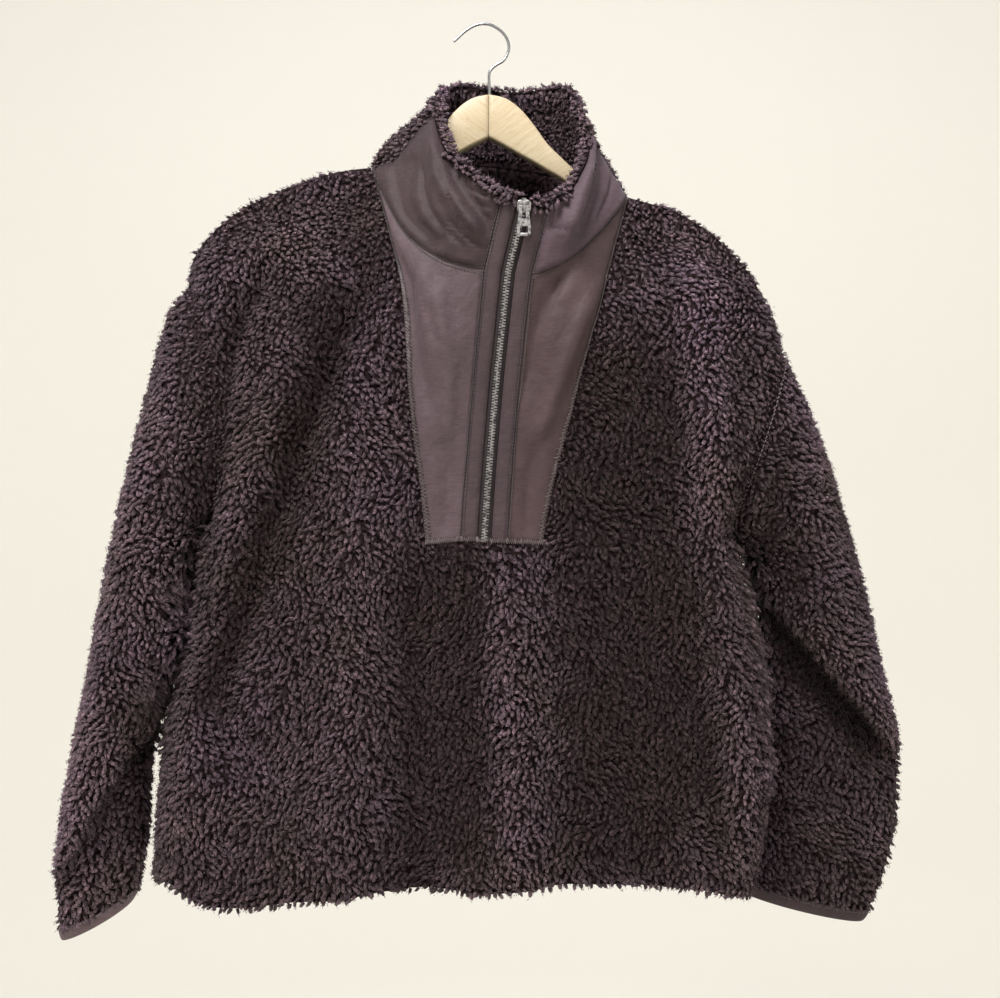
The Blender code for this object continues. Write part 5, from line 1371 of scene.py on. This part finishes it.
# How far in from its panel's edge each line of stitches runs; the second serging is beside the first.
INSETS = {"serging": 0.2, "second": 1.3, "placket": 1.2, "head": 3.4, "collar": 1.3,
          "collar_inner": 1.4, "collar_outer": 1.6, "welt": 1.0}
CUFF_STITCH_DOWN = 2.0        # the cuff's stitches lie on its binding, this far below the seam


def resample(line, step, *others):
    """A line at even steps along it, with other values at the same places."""
    gaps = np.linalg.norm(np.diff(line, axis=0), axis=1)
    reach = np.concatenate([[0], np.cumsum(gaps)])
    at = np.linspace(0, reach[-1], max(int(round(reach[-1] / step)), 1) + 1)
    return [np.stack([np.interp(at, reach, field[:, k]) for k in range(3)], axis=1)
            for field in (line, *others)]


def tubes(paths, radius, sides=5):
    """Closed tubes along several paths: vertices and faces."""
    verts, faces = [], []
    for path in paths:
        path = np.asarray(path)
        ahead = unit(np.gradient(path, axis=0))
        side = unit(np.cross(ahead, [0.31, -0.62, 0.72]))
        top = np.cross(side, ahead)
        start = len(verts)
        for p, a, b in zip(path, side, top):
            for s in range(sides):
                turn = 2 * math.pi * s / sides
                verts.append(p + (a * math.cos(turn) + b * math.sin(turn)) * radius)
        for k in range(len(path) - 1):
            low, high = start + k * sides, start + (k + 1) * sides
            faces += [[low + (s + 1) % sides, low + s, high + s, high + (s + 1) % sides]
                      for s in range(sides)]
        faces.append([start + s for s in range(sides)])
        faces.append([len(verts) - 1 - s for s in range(sides)])
    return verts, faces


def dashes(line, normals, length, gap, out):
    """Stitches on a line of the cloth, each arching out of it."""
    paths = []
    fine, outward = resample(line, STITCH_STEP, normals)
    every = int(round((length + gap) / STITCH_STEP))
    take = int(round(length / STITCH_STEP))
    for start in range(0, len(fine) - take, every):
        part = slice(start, start + take + 1)
        arch = np.sin(np.linspace(0, math.pi, take + 1))[:, None]
        paths.append((fine[part] + outward[part] * (out - STITCH_SINK + (out + STITCH_SINK) * arch))[::2])
    return paths


def zigzag(line, normals, inward, width, pitch, out):
    """A serging thread that runs to and fro, unevenly, between the line and a place inside it."""
    fine, outward, side = resample(line, pitch / 2, normals, inward)
    uneven = np.random.default_rng(len(fine)).uniform(0.7, 1.15, (len(fine), 1))
    reach = (np.arange(len(fine)) % 2)[:, None] * width * uneven
    return [fine + outward * out + side * reach]


def inset(grid_points, column, distance):
    """A line running beside a column of a grid, at a distance towards the grid's inside."""
    inner = column + 1 if column == 0 else column - 1
    side = unit(grid_points[:, inner] - grid_points[:, column])
    return grid_points[:, column] + side * distance, side


def build_stitches(grids, finishes):
    """Serging along the placket's edges, topstitching beside its seams and round the cuffs."""
    pale, plain, bright = [], [], []
    for side, outer, inner in (("left", 0, -1), ("right", -1, 0)):
        panel = grids["placket_" + side]
        normals = normals_of(panel)
        line, inward = inset(panel, outer, INSETS["serging"])
        pale += zigzag(line, normals[:, outer], inward, *SERGE_WIDE)
        pale += zigzag(line + inward * INSETS["second"], normals[:, outer], inward, *SERGE_NARROW)
        up = unit(panel[1] - panel[0])
        bright += zigzag(panel[0] - up, normals[0], up, *FOOT_SERGE)
        line, inward = inset(panel, inner, INSETS["placket"])
        plain += dashes(line, normals[:, inner] * 2, *SEAM_STITCH)
        down = unit(panel[-2] - panel[-1])
        plain += dashes(panel[-1] + down * INSETS["head"], normals[-1], *SEAM_STITCH)
        collar_front = grids["collar_front_" + side]
        outward = normals_of(collar_front)
        up = unit(collar_front[1] - collar_front[0])
        plain += dashes(collar_front[0] + up * INSETS["collar"], outward[0], *SEAM_STITCH)
        for column, distance in ((inner, INSETS["collar_inner"]), (outer, INSETS["collar_outer"])):
            line, inward = inset(collar_front, column, distance)
            plain += dashes(line[:-2], outward[:-2, column], *SEAM_STITCH)
    for side, column in (("left", 0), ("right", -1)):
        strip = grids["zip_" + side]
        normals = normals_of(strip)
        line, inward = inset(strip, column, INSETS["welt"])
        plain += dashes(line, normals[:, column], *WELT_STITCH)
        up = unit(strip[1] - strip[0])
        bright += zigzag(strip[0] - up, normals[0], up, *ZIP_SERGE)
    middle, up = grids["zip_middle"], np.array([0.0, 0.0, 1.0])
    bright += zigzag(middle[0] - up, normals_of(middle)[0], np.tile(up, (middle.shape[1], 1)), *ZIP_SERGE)
    for side in SIDES:
        ring = grids["sleeve_" + side]
        down = unit(ring[0] - ring[1])
        plain += dashes(ring[0] + down * CUFF_STITCH_DOWN, tube_normals(ring)[0], *CUFF_STITCH)
    ring = grids["sleeve_right"]
    pale += dashes(ring[-2], tube_normals(ring)[-2], *ARMHOLE_STITCH)
    for name, finish, paths, radius in (("serging", "pale", pale, SERGE_RADIUS),
                                        ("foot_serging", "bright", bright, SERGE_RADIUS),
                                        ("topstitch", "thread", plain, STITCH_RADIUS)):
        add_piece(name, *tubes(paths, radius, 4), finishes[finish])


# ---------------------------------------------------------------- the zip
TOOTH_PITCH = 2.2
TOOTH = (3.3, 1.45, 1.6)      # across, along and out
TOOTH_TAPER = 0.7             # its top's width over its foot's
TOOTH_ASIDE, TOOTH_OUT = 0.95, 0.3      # where it stands, beside the zip's axis and out of the skin
TAPE_OUT = 0.3                # the tape's face, out of the skin
CORD_ASIDE, CORD_OUT, CORD_RADIUS, CORD_STEP = 2.9, 0.5, 0.55, 1.5
WELT_FOOT = 0.7               # the welt's face at its two edges
WELT_START, WELT_FULL = 0.25, 0.7       # the sine that bulges it: its first angle, and its power


def boxes(places, across, along, outward, size):
    """Small blocks with narrower tops: vertices and faces."""
    half_x, half_z = size[0] / 2, size[1] / 2
    verts = []
    for level, share in ((0.0, 1.0), (0.6, 1.0), (1.0, TOOTH_TAPER)):
        for x, z in ((-1, -1), (1, -1), (1, 1), (-1, 1)):
            verts.append(places + across * half_x * x * share + along * half_z * z * share
                         + outward * size[2] * level)
    each = len(verts)
    verts = np.stack(verts, axis=1).reshape(-1, 3)
    shape = [[3, 2, 1, 0], [8, 9, 10, 11]]
    for low in (0, 4):
        shape += [[low + k, low + (k + 1) % 4, low + 4 + (k + 1) % 4, low + 4 + k] for k in range(4)]
    faces = (np.array(shape)[None] + np.arange(len(places))[:, None, None] * each).reshape(-1, 4)
    return verts, faces.tolist()


def build_zip(grids, finishes):
    """The tape with its two cords and rows of teeth, and the folded welts beside it."""
    middle = grids["zip_middle"]
    normals = normals_of(middle)
    tape = add_piece("zip_tape", *wall(middle, normals, TAPE_OUT, -WOVEN_HALF), finishes["tape"])
    axis = (middle[:, 1] + middle[:, 2]) / 2
    out = unit(normals[:, 1] + normals[:, 2])
    across = unit(middle[:, 2] - middle[:, 1])
    line, outward, right = resample(axis, TOOTH_PITCH / 2, out, across)
    along = unit(np.gradient(line, axis=0))
    sign = np.where(np.arange(len(line)) % 2, 1.0, -1.0)[:, None]
    teeth = boxes(line + right * sign * TOOTH_ASIDE + outward * TOOTH_OUT, right, along, outward, TOOTH)
    chain = add_piece("zip_teeth", *teeth, finishes["metal"], shade_smooth=False)
    cords = []
    for sign in (-1, 1):
        line, outward = resample(axis + across * sign * CORD_ASIDE, CORD_STEP, out)
        cords.append(line + outward * CORD_OUT)
    edge = add_piece("zip_cord", *tubes(cords, CORD_RADIUS), finishes["tape"])
    for piece in (tape, chain, edge):
        cover(piece, "zip_chain")
    made = {"zip_tape": (tape, chain, edge)}
    for side in SIDES:
        points = grids["zip_" + side]
        bulge = np.sin(np.linspace(WELT_START, math.pi - WELT_START, points.shape[1])) ** WELT_FULL
        profile = WELT_FOOT + (WELT_OUT - WOVEN_HALF) * bulge
        mesh = wall(points, normals_of(points), profile[None, :], -WOVEN_HALF)
        name = "zip_welt_" + side
        made[name] = (cover(add_piece(name, *mesh, finishes["welt"]), name),)
    return made


def slider_frame():
    """The slider's place on the zip, and its right, up and outward directions."""
    up = unit((zip_top(0, 1.0) - zip_top(0, 0.6)) * np.array([0, 1, 1]))
    right = np.array([1.0, 0.0, 0.0])
    return zip_top(0, SLIDER_RISE), right, up, np.cross(right, up)


def cells(frame, across, along, missing, thick, out=0.0, widths=None):
    """A flat plate with square openings, from the lines that part it into cells."""
    centre, right, up, outward = frame
    widths = widths or [1.0] * len(along)
    points = np.array([[centre + right * x * w + up * z + outward * out for x in across]
                       for z, w in zip(along, widths)])
    mask = np.ones((len(along) - 1, len(across) - 1), bool)
    for i, j in missing:
        mask[i, j] = False
    normals = np.broadcast_to(outward, points.shape)
    return wall(points, normals, thick / 2, -thick / 2, mask)


def bevelled(piece, width):
    bevel = piece.modifiers.new("bevel", "BEVEL")
    bevel.width = width * MM
    bevel.segments = 2
    bevel.limit_method = "ANGLE"
    return piece


def build_slider(finishes):
    """The slider's plate with its arch. Gives the middle of the bar that the tab turns on."""
    centre, right, up, out = slider_frame()
    width, height, thick = SLIDER_PLATE
    base = CHAIN_OUT + SEAM_GAP
    rows = [-height / 2, -height / 2 + 1.2, height / 2 - 2.4, height / 2 - 0.7, height / 2]
    plate = cells((centre, right, up, out), [-width / 2, -width / 4, width / 4, width / 2], rows, [],
                  thick, base + thick / 2, SLIDER_WIDTHS)
    wide, long, high = ARCH
    start = base + thick - ARCH_SUNK
    lines = [-long / 2, -long / 2 + ARCH_WIRE, long / 2 - ARCH_WIRE, long / 2]
    arch = cells((centre + out * start, up, out, right), lines,
                 [0, ARCH_SUNK + high - ARCH_WIRE, ARCH_SUNK + high], [(0, 1)], wide)
    made = [bevelled(add_piece("zip_slider_plate", *plate, finishes["metal"], shade_smooth=False), 0.45),
            bevelled(add_piece("zip_slider_arch", *arch, finishes["metal"], shade_smooth=False), 0.4)]
    for piece in made:
        cover(piece, "zip_slider")
    return centre + out * (base + thick + (high - ARCH_WIRE) / 2)


def build_tab(hinge, finishes):
    """The pull tab hangs from a bar in the slider's arch."""
    slot_wide, slot_long = TAB_SLOT
    window_wide, window_long = TAB_WINDOW
    rows = [-TAB_LENGTH, -TAB_LENGTH + TAB_RIM, -TAB_LENGTH + TAB_RIM + window_long,
            -TAB_BAR - slot_long, -TAB_BAR, TAB_BAR]
    halves = [slot_wide / 2, window_wide / 2, TAB_WIDTH / 2]
    columns = [-half for half in reversed(halves)] + halves
    frame = (hinge, np.array([1.0, 0, 0]), np.array([0, 0, 1.0]), np.array([0, -1.0, 0]))
    mesh = cells(frame, columns, rows, [(1, 1), (1, 2), (1, 3), (3, 2)], TAB_THICK, widths=TAB_WIDTHS)
    tab = add_piece("zip_pull", *mesh, finishes["metal"], body="pull_tab", shade_smooth=False)
    cover(bevelled(tab, 0.3), "zip_pull")


# ---------------------------------------------------------------- cuffs and hanger
CUFF_STEPS = 9
CUFF_EDGE, CUFF_BULGE, CUFF_FULL = 0.5, 1.2, 0.6      # its face at its edges, what a sine adds, its power
CUFF_IN = 0.8                 # and its inside


def build_cuffs(grids, finishes):
    """Smooth bindings, thickest in their middle, that draw in round the ends of the sleeves."""
    made = {}
    for side in SIDES:
        points = grids["sleeve_" + side][:2]
        down = unit(points[0] - points[1])
        inward = tube_normals(points)[0] * CUFF_TURN_IN
        steps = np.linspace(0, 1, CUFF_STEPS)
        bulge = np.sin(math.pi * np.clip(steps * 0.9 + 0.08, 0, 1)) ** CUFF_FULL
        profile = CUFF_EDGE + CUFF_BULGE * bulge
        band = np.array([points[0] + down * (SEAM_GAP + CUFF_BINDING * s) - inward * s
                         for s in steps[::-1]])
        mesh = wall(band, tube_normals(band), profile[::-1][:, None], -CUFF_IN, around=True)
        name = "cuff_binding_" + side
        made[name] = (cover(add_piece(name, *mesh, finishes["cuff_" + side]), name),)
    return made


def arm_section(up, low):
    """The wood's outline at one place, with its four long edges rounded, as pairs of Y and Z."""
    half = HANGER_THICK / 2
    bends = np.linspace(0, math.pi / 2, 4)
    corner = [(HANGER_EDGE * (1 - math.cos(a)), HANGER_EDGE * (1 - math.sin(a))) for a in bends]
    return ([(-half + a, up - b) for a, b in corner] + [(half - a, up - b) for a, b in corner[::-1]]
            + [(half - a, low + b) for a, b in corner] + [(-half + a, low + b) for a, b in corner[::-1]])


def build_hanger(finishes):
    """Two wooden arms that meet in a mitre, and the wire hook between them."""
    for side, sign in zip(SIDES, (-1, 1)):
        table = HANGER_ARMS[side]
        verts, faces = [], []
        for k in range(HANGER_FINE + 1):
            x = table[-1][0] * k / HANGER_FINE
            loop = arm_section(*track(table, x, "up", "low"))
            around = len(loop)
            verts += [(sign * (x + MITRE_GAP / 2), y, z) for y, z in loop]
            if k:
                a, b = around * (k - 1), around * k
                faces += [[a + i, a + (i + 1) % around, b + (i + 1) % around, b + i]
                          for i in range(around)]
        faces += [list(range(around))[::-1], [around * HANGER_FINE + i for i in range(around)]]
        faces = faces if side == "left" else [f[::-1] for f in faces]
        arm = add_piece("hanger_" + side, verts, faces, finishes["wood_" + side])
        cover(arm, "hanger_" + side)
    last = len(HOOK_PATH) - 2
    path = [track(HOOK_PATH, last * k / HOOK_FINE, "x", "z") for k in range(HOOK_FINE + 1)]
    wire = tubes([[(x, 0.0, z) for x, z in path]], WIRE_RADIUS, 16)
    cover(add_piece("hanger_hook", *wire, finishes["wire"]), "hanger_hook")


# ---------------------------------------------------------------- stage, light and camera
STAGE_SIDES = 72
# The bowl's profile in metres, as pairs of radius and height.
STAGE_PROFILE = ((0.02, -1.62), (0.8, -1.62), (1.5, -1.6), (2.0, -1.48), (2.4, -1.2), (2.62, -0.8),
                 (2.7, -0.2), (2.72, 0.8), (2.72, 1.6))
CENTRE = (0.0, 0.0, -0.35)
# Lamps: place, what they aim at, size, power in watts and colour.
LAMPS = {
    "key": ((-0.45, -1.0, 1.15), CENTRE, 0.9, 46.0, (1.0, 0.985, 0.96)),
    "fill": ((1.1, -1.6, 0.2), CENTRE, 1.6, 4.0, (0.96, 0.98, 1.0)),
    "rear": ((0.3, 1.7, 0.9), CENTRE, 1.6, 5.0, (1.0, 0.99, 0.97)),
    "backdrop": ((0.0, 0.9, 1.3), (0.0, 2.7, -0.5), 1.2, 13.0, (1.0, 1.0, 0.99)),
}
SKY, SKY_STRENGTH = (0.93, 0.95, 1.0), 0.42
CAMERA_PLACE, CAMERA_LENS, CAMERA_SENSOR = (0.009, -1.040, -0.379), 46.8, 36.0


def add_object(name, data):
    made = bpy.data.objects.new(name, data)
    bpy.context.scene.collection.objects.link(made)
    return made


def build_stage():
    """A pale floor far below that curves up into a low wall all round."""
    turns = [2 * math.pi * s / STAGE_SIDES for s in range(STAGE_SIDES)]
    verts = [(radius * math.cos(turn), radius * math.sin(turn), level)
             for radius, level in STAGE_PROFILE for turn in turns]
    faces = []
    for low in range(0, len(verts) - STAGE_SIDES, STAGE_SIDES):
        high = low + STAGE_SIDES
        faces += [[low + s, low + (s + 1) % STAGE_SIDES, high + (s + 1) % STAGE_SIDES, high + s]
                  for s in range(STAGE_SIDES)]
    faces.append(list(range(STAGE_SIDES))[::-1])
    mesh = bpy.data.meshes.new("stage")
    mesh.from_pydata(verts, [], faces)
    mesh.shade_smooth()
    mesh.materials.append(start_material("stage", WALL, 0.9)[0])
    return add_object("stage", mesh)


def build_lamps():
    lamps = []
    for name, (place, target, size, power, colour) in LAMPS.items():
        light = bpy.data.lights.new(name, "AREA")
        light.shape = "DISK"
        light.size, light.energy, light.color = size, power, colour
        lamp = add_object(name, light)
        lamp.location = place
        aim = np.array(target) - np.array(place)
        flat = math.hypot(aim[0], aim[1])
        lamp.rotation_euler = (math.atan2(flat, -aim[2]), 0.0, math.atan2(-aim[0], aim[1]))
        lamps.append(lamp)
    return lamps


def build_world():
    world = bpy.data.worlds.new("world")
    world.use_nodes = True
    sky = world.node_tree.nodes["Background"]
    connect(world.node_tree, sky, {"Color": (*SKY, 1.0), "Strength": SKY_STRENGTH})
    bpy.context.scene.world = world


def build_camera():
    camera = bpy.data.cameras.new("camera")
    camera.lens, camera.sensor_width = CAMERA_LENS, CAMERA_SENSOR
    camera.clip_start, camera.clip_end = 0.01, 20.0
    holder = add_object("camera", camera)
    holder.location = CAMERA_PLACE
    holder.rotation_euler = (math.pi / 2, 0.0, 0.0)
    bpy.context.scene.camera = holder


# ---------------------------------------------------------------- all of it
def panel_grids():
    grids = {"front_body": front_grid(), "back_body": back_grid(), "collar_back": collar_back_grid()}
    for side, sign in (("left", -1), ("right", 1)):
        grids["sleeve_" + side] = sleeve_grid(side)
        grids["placket_" + side] = creased(placket_grid(side), PLACKET_CREASES, 31)
        grids["collar_front_" + side] = creased(collar_front_grid(side), COLLAR_CREASES, 41, COLLAR_OUT)
        reach = sorted((sign * ZIP_HALF, sign * (ZIP_HALF + WELT_WIDTH)))
        grids["zip_" + side] = zip_grid(*reach)
    grids["zip_middle"] = zip_grid(-ZIP_HALF, ZIP_HALF)
    return grids


def make_finishes():
    # copies of one woven cloth, painted lighter and darker for light and shade
    woven = {"welt": WOVEN_WELT_SHADED, "cuff_left": WOVEN_CUFF_LEFT, "cuff_right": WOVEN_CUFF_SHADED,
             "placket_left": WOVEN, "placket_right": WOVEN_RIGHT_SHADED,
             "collar_front_left": WOVEN_COLLAR_LEFT_SHADED, "collar_front_right": WOVEN_COLLAR_RIGHT}
    finishes = {name: woven_material("woven_" + name, colour) for name, colour in woven.items()}
    return finishes | {
        "pile": pile_material("sherpa_pile", PILE_ROOT_SHADE, PILE_TIP), "ground": ground_material(),
        "tape": woven_material("zip_tape", TAPE, TAPE_WEAVE_SCALE),
        "thread": thread_material("thread", THREAD), "pale": thread_material("thread_pale", THREAD_PALE),
        "bright": thread_material("thread_bright", THREAD_BRIGHT),
        "metal": metal_material("zip_metal", STEEL, 0.3, STEEL_WEAR_AND_SHADE),
        "wire": metal_material("hook_wire", CHROME, 0.18, times(CHROME, 0.7)),
        "wood_left": wood_material("beech_left", GRAIN_TURN),
        "wood_right": wood_material("beech_right", -GRAIN_TURN)}


BEHIND = 4e4                  # far more than any square distance of interest, for points at the back


def sleeve_seam(points):
    """The stitched seam that runs above the right elbow's fold."""
    start, end = np.array([ELBOW_SEAM[0], ELBOW_SEAM[1]]), np.array([ELBOW_SEAM[2], ELBOW_SEAM[3]])
    front = points.reshape(-1, 3)
    line = []
    for share in np.linspace(0, 1, 40):
        spot = start + (end - start) * share
        away = (front[:, 0] - spot[0])**2 + (front[:, 2] - spot[1])**2 + BEHIND * (front[:, 1] > 0)
        line.append(front[np.argmin(away)])
    return np.array(line)


def main():
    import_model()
    grids = panel_grids()
    finishes = make_finishes()
    cloths = build_fleece(grids, finishes)
    cloths |= build_woven(grids, finishes)
    cloths |= build_zip(grids, finishes)
    build_tab(build_slider(finishes), finishes)
    cloths |= build_cuffs(grids, finishes)
    build_stitches(grids, finishes)
    build_hanger(finishes)
    build_stage()
    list(build_lamps())
    build_world()
    build_camera()
    bpy.context.scene.view_settings.view_transform = "Standard"


main()
